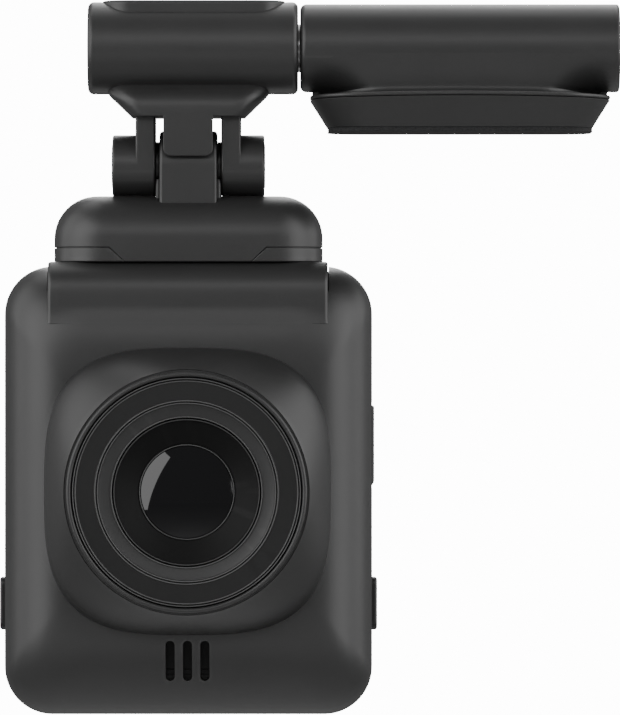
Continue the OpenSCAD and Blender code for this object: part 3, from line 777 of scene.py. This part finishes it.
ring_piece("flat_ring", [(16.02, 0.55), (16.02, 1.9), (12.6, 1.9), (12.6, 0.62), (12.7, 0.42),
                         (12.84, 0.42), (12.92, 0.56), (15.42, 0.42), (15.48, 0.24),
                         (15.6, 0.24), (15.68, 0.5), (15.76, 0.5), (15.8, 0.2), (15.92, 0.2)],
           [0.08, 0.05, 0.05, 0.05, 0.05, 0.05, 0.06, 0.05, 0.05, 0.05, 0.03, 0.03, 0.06, 0.08],
           "dark_plastic", "outer_ring")
ring_piece("cone_ring", [(12.57, 0.8), (12.57, 4.5), (10.38, 4.5), (10.38, 1.5), (10.46, 1.2),
                         (10.58, 1.2), (10.66, 1.38), (12.28, 0.92), (12.36, 0.68),
                         (12.5, 0.66)],
           [0.07, 0.05, 0.05, 0.04, 0.05, 0.05, 0.06, 0.06, 0.06, 0.06], "housing",
           "middle_ring")
ring_piece("lens_hood_ring", [(10.33, 1.6), (10.33, 5), (6.74, 5), (6.74, 3.3), (10.0, 1.9),
                              (10.06, 1.45), (10.2, 1.35)],
           [0.08, 0.05, 0.05, 0.05, 0.06, 0.06, 0.06], "dark_plastic", "lens_hood")
BARREL_BACK = -5 - rim_y
ring_piece("lens_barrel_tube", [(6.7, 3.25), (6.7, 8), (5.95, 8), (5.95, BARREL_BACK),
                                (4.6, BARREL_BACK), (4.6, 4.6), (6.52, 4.6), (6.52, 3.18),
                                (6.6, 3.1)],
           [0.05] * 7 + [0.04, 0.05], "dark_plastic", "lens_barrel")

# %% The front glass
DOME = 16.0
GLASS = span("front_lens")[1][0] - lens_mid[0]
dome_profile = [(0.01, rim_y + 4.5), (GLASS - 0.1, rim_y + 4.5), (GLASS, rim_y + 4.4)]
dome_edge = math.asin((GLASS - 0.08) / DOME)
for step in range(25):
    turn = dome_edge * (1 - step / 24)
    dome_profile.append((max(DOME * math.sin(turn), 0.01),
                         rim_y + 1.95 + DOME * (1 - math.cos(turn))))
glass = turned("front_glass", dome_profile, "y", lens_mid, joined=False, sharp=40)
settle(glass, "camera", "lens_glass", "front_lens")

# %% Keep the two long lamps out of the glass
spared = bpy.data.collections.new("lamp_spares")
spared.objects.link(glass)
spared.collection_objects[0].light_linking.link_state = "EXCLUDE"
for lamp in (strip, low):
    lamp.light_linking.receiver_collection = spared

# %% [markdown]
# ## The magnetic head
# The head is a pebble with a flat underside. Its shell is one loft whose rings follow a quarter
# circle. The base plate shows at both ends under a stepped parting line, so both pieces are cut
# from the same loft, and the shell keeps a fine gap to the plate.

# %% The head's two pieces
HEAD_ROUND = 6.0
HEAD_CORNER = 7.3
head_half_x, head_half_y = head_high[0], head_high[1]
head_x = lens_mid * (1, 0, 0)
hinge_at = hinge * (1, 0, 1)


def head_ring(z, inset):
    return placed(outline(2 * (head_half_x - inset), 2 * (head_half_y - inset),
                          HEAD_CORNER - inset, 20, 14), z, "z") + head_x


def head_loft(name):
    rings = [head_ring(dock_z + lift, inset) for lift, inset in [(0, 0.12), (0.12, 0), (1.2, 0)]]
    for inward, down in quarter(16):
        rings.append(head_ring(head_high[2] - HEAD_ROUND * down, HEAD_ROUND * inward))
    return loft(name, rings, sharp=30)


SEAM_RISE = 1.95
WING_IN, WING_OUT = 8.95, 11.1


def wing_tool(side, gap):
    """The end of the base plate, seen from the front, with a stepped inner edge."""
    corners = [(WING_IN - 0.6 - gap, dock_z - 2), (WING_IN - gap * 0.4, dock_z),
               (WING_OUT - gap * 0.4, dock_z + SEAM_RISE + gap), (24, dock_z + SEAM_RISE + gap),
               (24, dock_z - 2)]
    flat = np.array([(side * x, z) for x, z in corners])
    return loft("wing_tool", [placed(flat, y, "y") + head_x for y in (-12, 12)])


head_shell = head_loft("head_moulding")
carve(head_shell, [wing_tool(-1, 0.1), wing_tool(1, 0.1)])
carve(head_shell, [cutter(pill(8.35, 10.1, 0.6, 2, 4), -11.5, -6, "z", head_x)], rim=0.15)
scoops = [rod("scoop", 4.7, *ends, "x", hinge_at) for ends in mirrored(4.1, 11.2)]
carve(head_shell, scoops, rim=0.06)
settle(head_shell, "head", "housing", "head_shell")

wings = head_loft("wings")
both = join("wing_pair", [wing_tool(-1, 0), wing_tool(1, 0)])
carve(wings, [both], rim=0.1, how="INTERSECT")
plate = bar("plate", pill(head_half_x * 2 - 0.5, head_half_y * 2 - 0.5, HEAD_CORNER - 0.25, 8,
                          12), dock_z + 0.3, dock_z + 2.7, "z", 0.1, head_x)
plug = bar("plug", pill(30, 9, 2), dock_z - 0.9, dock_z + 1, "z", 0.25, head_x)
head_base = join("head_base_plate", [wings, plate, plug])
settle(head_base, "head", "housing", "head_base")


# %% The centre knuckle
def arch(radius, foot, inset):
    """A half round with straight legs, drawn in Y and Z about the pin."""
    turns = np.radians(np.linspace(0, 180, 25))
    top = np.stack([(radius - inset) * np.cos(turns), (radius - inset) * np.sin(turns)], 1)
    drop = foot + (inset if foot < 0 else -inset)
    legs = [(-(radius - inset), drop * (1 - k / 3)) for k in (2, 1, 0)]
    back = [(radius - inset, drop * (1 - k / 3)) for k in (0, 1, 2)]
    return np.concatenate([top, legs, back])


KNUCKLE = 4.96
KNUCKLE_HALF = 4.1
knuckle = bar("knuckle", lambda inset: arch(KNUCKLE, -7.6, inset), -KNUCKLE_HALF, KNUCKLE_HALF,
              "x", 0.5, hinge_at, 6)
ridge = bar("ridge", pill(9.26, 7.2, 0.4), -12, -6.6, "z", 0.1, head_x)
carve(ridge, [rod("hollow", 3.52, -6, 6, "x", hinge_at)], rim=0, sharp=38)
knuckle = join("centre_knuckle", [knuckle, ridge])
settle(knuckle, "head", "housing", "head_knuckle")

# %% [markdown]
# ## The neck
# The neck is one moulding too: a barrel, a boss with slanted flanks, a tongue that hides the way
# of the lead, and two plates with round knuckles. Each is a loft of its own and they are welded
# by a boolean, whose seams are rounded like the fillets of a mould.

# %% The neck's barrel and boss
neck_low, neck_high = span("neck_housing")
BARREL = 6.55
neck_x0, neck_x1 = neck_low[0], neck_high[0]
barrel_ends = softened([(0.01, neck_x0 + 0.05), (3.8, neck_x0 + 0.05), (4.0, neck_x0),
                        (BARREL, neck_x0), (BARREL, neck_x1), (3.6, neck_x1), (0.01, neck_x1)],
                       [0, 0.1, 0.1, 0.85, 0.85, 0, 0], steps=8)
neck = turned("neck_moulding", barrel_ends, "x", swivel, 192, joined=False, sharp=30)

BOSS = [(2.15, 8.0, 5.6, 1.9), (2.3, 8.15, 5.82, 2.1), (2.6, 8.45, 5.9, 2.3),
        (3.6, 9.5, 5.9, 2.9), (4.4, 10.35, 5.78, 3.3), (5.0, 11.0, 5.5, 3.7),
        (5.5, 11.4, 5.15, 3.9), (6.1, 11.7, 4.6, 3.8), (6.8, 11.85, 3.8, 3.4),
        (7.6, 11.9, 2.9, 2.8)]
boss = loft("boss", [placed(outline(2 * x, 2 * y, r, 10, 12), z, "z") + head_x
                     for z, x, y, r in BOSS], sharp=50)
carve(neck, [boss], rim=0.35, how="UNION")


# %% Its tongue, plates and knuckles
def tongue_shape(inset):
    return softened([(-3.5 + inset, -3.4 + inset), (3.5 - inset, -3.4 + inset),
                     (3.5 - inset, 3.3), (-3.5 + inset, 3.3)], [1.0, 1.0, 0, 0], steps=6)


tongue = bar("tongue", tongue_shape, -5.88, -5.2, "y", 0.16, head_x, 4)
PLATE_IN, PLATE_OUT, KNUCKLE_OUT, KNUCKLE_R = 4.65, 7.45, 10.75, 4.4
plates = [bar("plate", lambda inset: -arch(KNUCKLE_R, -8.0, inset), *ends, "x", 0.34, hinge_at, 5)
          for ends in mirrored(PLATE_IN, PLATE_OUT)]
carve(neck, [tongue] + plates, rim=0.1, how="UNION")
knuckles = []
for side in (-1, 1):
    profile = softened([(0.01, PLATE_IN + 0.3), (KNUCKLE_R, PLATE_IN + 0.3),
                        (KNUCKLE_R, KNUCKLE_OUT), (3.4, KNUCKLE_OUT),
                        (3.34, KNUCKLE_OUT - 0.25), (0.01, KNUCKLE_OUT - 0.25)],
                       [0, 0, 0.35, 0.05, 0, 0], steps=6)
    profile = [(r, side * level) for r, level in profile]
    knuckles.append(turned("knuckle", profile, "x", hinge_at, 128, joined=False))
carve(neck, knuckles, how="UNION")

# %% The long cover on the barrel
cover_x = head_x + (0.75, 0, 0)
carve(neck, [cutter(pill(26.3, 8.56, 4.28, 12, 16), 16.2, 20, "z", cover_x)], rim=0.09)
settle(neck, "neck", "housing", "neck_housing")
top_cover = bar("top_cover", pill(26.1, 8.34, 4.17, 12, 16), 16.0,
                span("neck_cover")[1][2] - 0.25, "z", 0.5, cover_x, 6, low_round=False)
settle(top_cover, "neck", "housing", "neck_cover")


# %% Caps, washers and ends
def cap_piece(name, ends, radius, edge, at, body, node, slot="housing", dish=0.0):
    """A round cap along X with soft edges, with a shallow dish in its outer face."""
    inner, outer = ends
    out = 1 if outer > inner else -1
    profile = [(0.01, inner), (radius, inner), (radius, outer)]
    radii = [0, 0.05, edge]
    if dish:
        profile += [(radius - 1.3, outer), (radius - 1.5, outer - out * dish)]
        radii += [0.08, 0.08]
    profile.append((0.01, outer - out * dish))
    radii.append(0)
    made = turned(name, softened(profile, radii, steps=6), "x", at, 128, joined=False, sharp=50)
    return settle(made, body, slot, node)


for side, name in ((-1, "left"), (1, "right")):
    cap_piece(f"knuckle_cap_{name}", (side * 9.9, side * 10.85), 3.26, 0.3, hinge_at, "neck",
              "knuckle_caps")
    cap_piece(f"friction_washer_{name}", (side * 4.15, side * 4.62), 3.45, 0.08, hinge_at, "neck",
              "hinge_washers", "dark_plastic")
cap_piece("neck_cap", (neck_x0 + 1.2, neck_x0), 5.35, 0.25, swivel, "neck", "neck_end_cap",
          dish=0.2)

# %% [markdown]
# ## The foot
# The foot is a second barrel on a tray. Where they meet, a thin flange with a round edge bows
# up in the middle, because the top of the tray is a wide arch. The tray's walls draw in towards
# the pad, as a moulding must to leave its mould.

# %% The foot's barrel, flange and tray
foot_low, foot_high = span("foot_housing")
FOOT_BARREL = 6.25
CROWN = 500.0
FOOT_L, FOOT_D, FOOT_CORNER, DRAFT = 42.4, 24.0, 8.0, 2.5
FLANGE_Z, FLANGE_ROUND = 5.33, 0.29
foot_x0, foot_x1 = foot_low[0], foot_high[0]


def foot_ring(inset, level, share=1.0):
    """The foot's outline, lowered at each X as the arch is."""
    ring = placed(outline(FOOT_L - 2 * inset, FOOT_D - 2 * inset, FOOT_CORNER - inset, 20, 14),
                  level, "z")
    ring[:, 2] -= share * ring[:, 0] ** 2 / (2 * CROWN)
    return ring


foot_profile = softened([(0.01, foot_x0), (3.4, foot_x0), (FOOT_BARREL, foot_x0),
                         (FOOT_BARREL, foot_x1), (5.3, foot_x1), (5.22, foot_x1 - 0.25),
                         (0.01, foot_x1 - 0.25)], [0, 0, 0.9, 0.9, 0.06, 0, 0], steps=8)
foot = turned("foot_moulding", foot_profile, "x", swivel, 192, joined=False, sharp=30)
flange_rings = []
for step in range(9):
    turn = math.radians(-90 + 180 * step / 8)
    flange_rings.append(foot_ring(FLANGE_ROUND * (1 - math.cos(turn)),
                                  FLANGE_Z + FLANGE_ROUND * math.sin(turn)))
flange = loft("flange", flange_rings, sharp=30)
carve(foot, [flange], rim=0, how="UNION")
LEDGE = 5.6


def saddle_ring(x):
    """The section at x: upright walls in the middle, which turn round towards the ends."""
    ledge = LEDGE - x**2 / (2 * CROWN)
    share = min(max((20.8 - abs(x)) / 10, 0), 1)
    upright = share * share * (3 - 2 * share)
    hollow = 0.15 + 0.75 * upright
    z = np.linspace(swivel[2] + 0.5, ledge + hollow, 18)
    round_y = np.sqrt(FOOT_BARREL**2 - np.minimum(np.abs(swivel[2] - z), FOOT_BARREL) ** 2)
    y = np.maximum(round_y * (1 - upright) + (FOOT_BARREL - 0.03) * upright - 0.02, 0.6)
    turn = np.linspace(0, -math.pi / 2, 7)[1:]
    toe = np.stack([-y[-1] - hollow + hollow * np.cos(turn),
                    ledge + hollow + hollow * np.sin(turn)], 1)
    front = np.concatenate([np.stack([-y, z], 1), toe, [toe[-1] - (0, 0.3)]])
    return placed(np.concatenate([front, front[::-1] * (-1, 1)]), x, "x")


saddle = loft("saddle", [saddle_ring(x) for x in np.linspace(-20.9, 20.9, 45)])
carve(foot, [saddle], rim=0, how="UNION")
settle(foot, "foot", "housing", "foot_housing")

PAD_T = span("adhesive_pad")[1][2]
tray_rings = []
TRAY_TOP = 5.01
for share, inset in [(0, 0.3), (0, 0.12), (0.012, 0.03), (0.03, 0), (0.25, 0), (0.5, 0),
                     (0.75, 0), (0.96, 0), (0.985, 0.05), (1, 0.2)]:
    level = PAD_T + (TRAY_TOP - PAD_T) * share
    tray_rings.append(foot_ring(DRAFT * (1 - share) + inset, level, share))
tray = loft("tray_moulding", tray_rings, sharp=30)
inlet_low, inlet_high = span("power_inlet")
inlet_hole = cutter(pill(9.5, 3.3, 1.6, 2, 8), 4, 14, "y",
                    (0, 0, (inlet_low[2] + inlet_high[2]) / 2))
carve(tray, [inlet_hole], rim=0.25)
settle(tray, "foot", "housing", "foot_tray")
cap_piece("foot_cap", (foot_x1 - 1.6, foot_x1 - 0.02), 5.18, 0.2, swivel, "foot", "foot_end_cap",
          dish=0.18)

# %% [markdown]
# ## The adhesive pad
# The pad is a die-cut slice of closed foam. Its edge is nearly square, a little waisted where
# the foam springs back from the blade, and it is slightly smaller than the tray.

# %% The foam pad
pad_low, pad_high = span("adhesive_pad")
pad_w, pad_d = pad_high[0] - pad_low[0], pad_high[1] - pad_low[1]
pad_rings = []
for share in (0, 0.06, 0.14, 0.3, 0.5, 0.7, 0.86, 0.94, 1):
    waist = 0.05 * math.sin(math.pi * share)
    edge = 0.05 * max(0, 1 - min(share, 1 - share) / 0.14) ** 2
    draw = waist + edge
    pad_rings.append(placed(outline(pad_w - 2 * draw, pad_d - 2 * draw, 5.5, 20, 14),
                            pad_low[2] + (pad_high[2] - pad_low[2]) * share, "z"))
pad = loft("foam_pad", pad_rings, sharp=60)
settle(pad, "foot", "pad_foam", "adhesive_pad")

# %% [markdown]
# ## Materials
# Every finish is procedural. A real surface is never one even colour: moulded plastic has the
# fine grain that the mould was eroded with, slow changes where it cooled, and lighter edges,
# partly a polish where hands touch and partly a painted highlight. Shader sums are written as
# ordinary sums with one small class, and one method makes every other node.

# %% Shader sums
class Flow:
    """One output of a shader node, so that sums of outputs read like ordinary sums."""

    def __init__(self, finish, socket):
        self.finish = finish
        self.socket = socket

    def sum(self, kind, a, b):
        return self.finish.node("ShaderNodeMath", {"operation": kind}, {0: a, 1: b})

    def __add__(self, other):
        return self.sum("ADD", self, other)

    __radd__ = __add__

    def __sub__(self, other):
        return self.sum("SUBTRACT", self, other)

    def __mul__(self, other):
        return self.sum("MULTIPLY", self, other)

    def __lt__(self, other):
        return self.sum("LESS_THAN", self, other)


finishes = {}
# Half the width of a painted highlight circle, in millimetres.
CIRCLE_HALF = 0.075


class Finish:
    """A material that is being mixed, kept by its name in finishes."""

    def __init__(self, name, **fixed):
        finishes[name] = self
        self.material = bpy.data.materials.new(name)
        self.material.use_nodes = True
        self.tree = self.material.node_tree
        self.shader = self.tree.nodes["Principled BSDF"]
        for key, value in fixed.items():
            self.shader.inputs[key.replace("_", " ")].default_value = value

    def node(self, kind, settings=None, inputs=None, output=0):
        """Any node: its settings are made first, then its inputs, and one output comes back."""
        made = self.tree.nodes.new(kind)
        for key, value in (settings or {}).items():
            if key == "stops":
                ramp = made.color_ramp.elements
                while len(ramp) < len(value):
                    ramp.new(0.5)
                for stop, (place, shade) in zip(ramp, value):
                    stop.position = place
                    stop.color = (*shade, 1) if isinstance(shade, tuple) else (shade,) * 3 + (1,)
            else:
                setattr(made, key, value)
        for key, value in (inputs or {}).items():
            if isinstance(value, Flow):
                self.tree.links.new(value.socket, made.inputs[key])
            else:
                made.inputs[key].default_value = value
        return Flow(self, made.outputs[output])

    def feed(self, **inputs):
        """Joins what changes over the surface to the shader."""
        for key, value in inputs.items():
            self.tree.links.new(value.socket, self.shader.inputs[key.replace("_", " ")])

    def place(self):
        return self.node("ShaderNodeTexCoord", output="Object")

    def from_point(self, point):
        """The place, measured from a point that is given in millimetres."""
        return self.node("ShaderNodeVectorMath", {"operation": "SUBTRACT"},
                         {0: self.place(), 1: tuple(point * MM)})

    def grain(self, size, detail=2.0, stretch=(1, 1, 1)):
        """Noise from 0 to 1, whose features are size millimetres across."""
        spread = self.node("ShaderNodeMapping", {}, {"Vector": self.place(), "Scale": stretch})
        return self.node("ShaderNodeTexNoise", {}, {
            "Vector": spread, "Scale": 1000 / size, "Detail": detail})

    def ramp(self, value, *stops):
        return self.node("ShaderNodeValToRGB", {"stops": stops}, {0: value})

    def blend(self, share, a, b):
        return self.node("ShaderNodeMix", {"data_type": "RGBA"}, {0: share, 6: a, 7: b}, 2)

    def bump(self, height, depth, under=None):
        """Relief that is depth millimetres deep."""
        inputs = {"Height": height, "Distance": depth * MM, "Strength": 1.0}
        if under:
            inputs["Normal"] = under
        return self.node("ShaderNodeBump", {}, inputs)

    def painted_circles(self, radii):
        """1 on fine circles round the lens axis: a painted highlight where each chamfer catches
        light.
        """
        flat = self.node("ShaderNodeVectorMath", {"operation": "MULTIPLY"},
                         {0: self.from_point(lens_mid), 1: (1 / MM, 0, 1 / MM)})
        away = self.node("ShaderNodeVectorMath", {"operation": "LENGTH"}, {0: flat}, "Value")
        found = 0.0
        for radius in radii:
            found = found + self.node("ShaderNodeMath", {"operation": "COMPARE"},
                                      {0: away, 1: radius, 2: CIRCLE_HALF})
        return found

    def rise(self, value, start, full):
        """0 up to start, 1 from full on."""
        return self.ramp(value, (start, 0.0), (full, 1.0))

    def edges(self):
        """1 on the raised edges, where a finish wears first and where a painted highlight
        lightens it.
        """
        return self.rise(self.node("ShaderNodeNewGeometry", output="Pointiness"), 0.52, 0.58)


def grey(level, warmth=0.0):
    return (level * (1 + warmth), level, level * (1 - warmth), 1)


# %% [markdown]
# ### Moulded plastic
# The housing is a matt polycarbonate blend. Its grain is eroded into the mould by sparks, so it
# is round pits about a fifth of a millimetre across, which a noise at that size gives. A slower
# noise shifts colour and gloss a little, and the raised edges are lighter: partly polish, partly
# a painted highlight.

# %% Housing and dark plastic
def moulded(name, level, rough, pit, depth, specular=0.5, painted_circles=(), cut=0.0):
    made = Finish(name, Specular_IOR_Level=specular, IOR=1.5)
    cloud = made.grain(9.0, 3.0)
    fine = made.grain(pit, 2.0)
    speck = made.grain(0.55, 1.0)
    # Lighter raised edges: partly wear and polish, partly a painted highlight.
    edge_wear_and_highlight = made.edges()
    shade = made.blend(cloud, grey(level * 0.9), grey(level * 1.1))
    shade = made.blend(made.rise(fine, 0.3, 0.75) * 0.35, shade, grey(level * 1.5))
    shade = made.blend(edge_wear_and_highlight * 0.35, shade, grey(level * 1.9, 0.01))
    # The circles are painted highlights on the ring chamfers, and cut sets how bright they are.
    if painted_circles:
        shade = made.blend(made.painted_circles(painted_circles), shade, grey(cut))
    polish = rough + (cloud - 0.5) * 0.07 + (fine - 0.5) * 0.1 - edge_wear_and_highlight * 0.07
    relief = made.bump(speck, depth * 0.5, made.bump(fine, depth))
    made.feed(Base_Color=shade, Roughness=polish, Normal=relief)
    return made


moulded("housing", 0.0145, 0.43, 0.17, 0.004)
moulded("dark_plastic", 0.0078, 0.36, 0.12, 0.002, 0.36)
# The ring finishes carry painted highlight circles at their chamfers' radii.
moulded("lens_black", 0.0035, 0.5, 0.12, 0.004, 0.12, (10.13,), 0.05)
moulded("ring_black", 0.0078, 0.36, 0.12, 0.002, 0.36,
                                 (15.86, 15.5, 12.77, 6.6), 0.07)
moulded("ring_grey", 0.0145, 0.43, 0.17, 0.003, 0.4,
                                (12.43, 10.52), 0.07)


# %% [markdown]
# ### Foam, glass and panes
# The foam's cells are open where the blade cut them, so they are a Voronoi pattern of dimples,
# each darkened towards its middle as painted shade. The coated glass is nearly black with a faint
# violet, because its layers pass almost all light. The pane over the display is printed black
# from behind around a slightly lighter field, and a few wiping marks dull its gloss.

# %% Foam pad
foam = Finish("pad_foam", Specular_IOR_Level=0.25)
cells = foam.node("ShaderNodeTexVoronoi", {}, {"Vector": foam.place(), "Scale": 4200.0})
ragged = foam.grain(0.6, 3.0)
# The ramp darkens the middle of each cell: painted shade in the open dimples.
foam_shade = foam.ramp(cells, (0.1, (0.004, 0.004, 0.004)), (0.6, (0.017, 0.017, 0.018)))
foam.feed(Base_Color=foam.blend(ragged * 0.4, foam_shade, grey(0.022)),
          Roughness=0.85 + (ragged - 0.5) * 0.1, Normal=foam.bump(cells, 0.05))

# %% Coated glass and filter
def coated(name, centre, rim, rough):
    made = Finish(name, IOR=1.52, Specular_IOR_Level=0.5)
    facing = made.node("ShaderNodeLayerWeight", {}, {"Blend": 0.35}, "Facing")
    haze = made.grain(1.6, 4.0)
    made.feed(Base_Color=made.blend(facing, centre, rim),
              Roughness=rough + made.rise(haze, 0.5, 0.85) * 0.05,
              Normal=made.bump(haze, 0.0004))
    return made


coated("lens_glass", (0.0016, 0.0016, 0.0022, 1),
                                (0.004, 0.003, 0.006, 1), 0.03)
coated("filter_glass", (0.02, 0.05, 0.06, 1), (0.08, 0.02, 0.05, 1),
                                  0.05)

# %% Display and its pane
def inside_field(made, half_x, half_z):
    """1 within a rectangle about the display's middle."""
    sides = made.node("ShaderNodeVectorMath", {"operation": "ABSOLUTE"},
                      {0: made.from_point(lens_mid + (0, 0, WINDOW_Z))})
    across = made.node("ShaderNodeSeparateXYZ", {}, {0: sides}, "X")
    upward = made.node("ShaderNodeSeparateXYZ", {}, {0: sides}, "Z")
    return (across < half_x * MM) * (upward < half_z * MM)


def pane_finish(name, border, field, rough):
    made = Finish(name, IOR=1.5, Coat_Roughness=0.04)
    wipe = made.grain(2.4, 3.0, (0.25, 1, 1))
    print_edge = inside_field(made, 20.4, 15.3)
    smear = made.rise(wipe, 0.5, 0.8)
    made.feed(Base_Color=made.blend(print_edge, border, field),
              Roughness=rough + smear * 0.07 + print_edge * 0.02,
              Normal=made.bump(wipe, 0.0006))
    return made


pane_finish("window", grey(0.0025), (0.0085, 0.009, 0.0105, 1), 0.05)
pane_finish("screen", grey(0.03), (0.012, 0.013, 0.016, 1), 0.2)


# %% [markdown]
# ### Metals
# Turned steel carries rings and rolled steel carries brushing, so both are a noise that is
# drawn out along one direction. Plated magnets are brighter and cloudy, and the gold of the
# contacts is thin enough to show the nickel where a contact has rubbed. The lighter edges of
# every metal are that wear together with a painted highlight.

# %% Metals
def metal(name, dull, bright, rough, size, stretch, depth=0.002):
    made = Finish(name, Metallic=1.0)
    lines = made.grain(size, 2.0, stretch)
    cloud = made.grain(3.0, 3.0)
    edge_wear_and_highlight = made.edges()
    shade = made.blend(made.rise(lines, 0.25, 0.75), dull, bright)
    # The lighter edges are worn metal together with a painted edge highlight.
    shade = made.blend(edge_wear_and_highlight * 0.5, shade, grey(0.75))
    made.feed(Base_Color=shade, Roughness=rough + (cloud - 0.5) * 0.12 + (lines - 0.5) * 0.12,
              Normal=made.bump(lines, depth))
    return made


metal("steel", grey(0.26), grey(0.42), 0.32, 0.5, (1, 8, 8))
metal("nickel", grey(0.5, 0.03), grey(0.66, 0.02), 0.24, 1.2, (1, 1, 1))
metal("gold_plating", (0.6, 0.38, 0.12, 1), (0.85, 0.6, 0.24, 1),
                                 0.22, 0.4, (1, 1, 3))
metal("spreader", grey(0.5), grey(0.68), 0.38, 0.5, (0.06, 1, 1))
metal("cell_foil", grey(0.5), grey(0.6), 0.42, 1.4, (1, 1, 1), 0.03)


# %% [markdown]
# ### Board, chip and other inner parts
# The board's solder mask is a thin green lacquer over copper, so the traces show as a slightly
# lighter, slightly raised pattern on a square grid. Chips have a sandy moulded top. Ceramic,
# nylon and the lead's sheath each get their own grain, because they show through the gaps and
# when the camera is taken apart.

# %% Board
board = Finish("board", Specular_IOR_Level=0.6)
bricks = board.node("ShaderNodeTexBrick", {"offset": 0.37, "squash": 0.7}, {
    "Vector": board.node("ShaderNodeMapping", {}, {
        "Vector": board.place(), "Rotation": (math.radians(90), 0, 0)}),
    "Scale": 420.0, "Mortar Size": 0.03, "Brick Width": 0.9, "Row Height": 0.3}, "Fac")
mottle = board.grain(2.0, 3.0)
mask_green = board.blend(mottle, (0.004, 0.03, 0.014, 1), (0.006, 0.045, 0.02, 1))
board.feed(Base_Color=board.blend(bricks * 0.8, mask_green, (0.02, 0.1, 0.045, 1)),
           Roughness=0.32 + (mottle - 0.5) * 0.15, Normal=board.bump(bricks, 0.02))


# %% Chip, ceramic, nylon and sheath
def bulk(name, low, high, rough, size, depth, stretch=(1, 1, 1)):
    made = Finish(name, Specular_IOR_Level=0.5)
    fine = made.grain(size, 2.0, stretch)
    cloud = made.grain(size * 12, 2.0)
    shade = made.blend(made.rise(fine, 0.3, 0.7), low, high)
    shade = made.blend(cloud * 0.3, shade, low)
    # The lighter edges are wear together with a painted edge highlight.
    shade = made.blend(made.edges() * 0.3, shade, high)
    made.feed(Base_Color=shade, Roughness=rough + (fine - 0.5) * 0.16,
              Normal=made.bump(fine, depth))
    return made


bulk("chip", grey(0.012), grey(0.022), 0.5, 0.1, 0.006)
bulk("ceramic", (0.62, 0.56, 0.46, 1), (0.72, 0.67, 0.58, 1), 0.55, 0.25,
                           0.006)
bulk("nylon", grey(0.02), grey(0.03), 0.4, 0.3, 0.005)
bulk("lead_sheath", grey(0.01), grey(0.018), 0.48, 0.2, 0.006,
                               (0.3, 1, 1))

# %% [markdown]
# ### Floor
# The floor is pale plaster: almost white, with a trace of cloud and grain, so it stays quiet.

# %% Floor
FLOOR_GLOW = 0.9


def plaster(name, glow):
    """Pale plaster: the glow lifts it to the white of a lit studio floor."""
    made = Finish(name, Specular_IOR_Level=0.2, Emission_Color=(1, 1, 1, 1),
                  Emission_Strength=glow)
    dust = made.grain(60, 4.0)
    made.feed(Base_Color=made.blend(dust, grey(0.86), grey(0.92)),
              Roughness=0.85 + (dust - 0.5) * 0.08, Normal=made.bump(dust, 0.4))
    return made.material


floor.data.materials.append(plaster("plaster", FLOOR_GLOW))
bounce.data.materials.append(plaster("bounce_plaster", 0))

# %% Give every piece and every node its finish
RING_FINISH = {"lens_hood_ring": "lens_black", "flat_ring": "ring_black",
               "lens_barrel_tube": "ring_black", "cone_ring": "ring_grey"}
given = {}
for thing in scene.objects:
    if thing.type != "MESH" or thing in (floor, bounce):
        continue
    if "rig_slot" in thing:
        thing.data.materials.clear()
        names = [RING_FINISH.get(thing.name, thing["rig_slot"])]
        thing.data.materials.append(finishes[names[0]].material)
    else:
        names = [part.name.split(".")[0] for part in thing.data.materials if part]
        for number, name in enumerate(names):
            thing.material_slots[number].material = finishes[name].material
    for name in names:
        given[name] = given.get(name, 0) + 1
print("finishes given:", given)
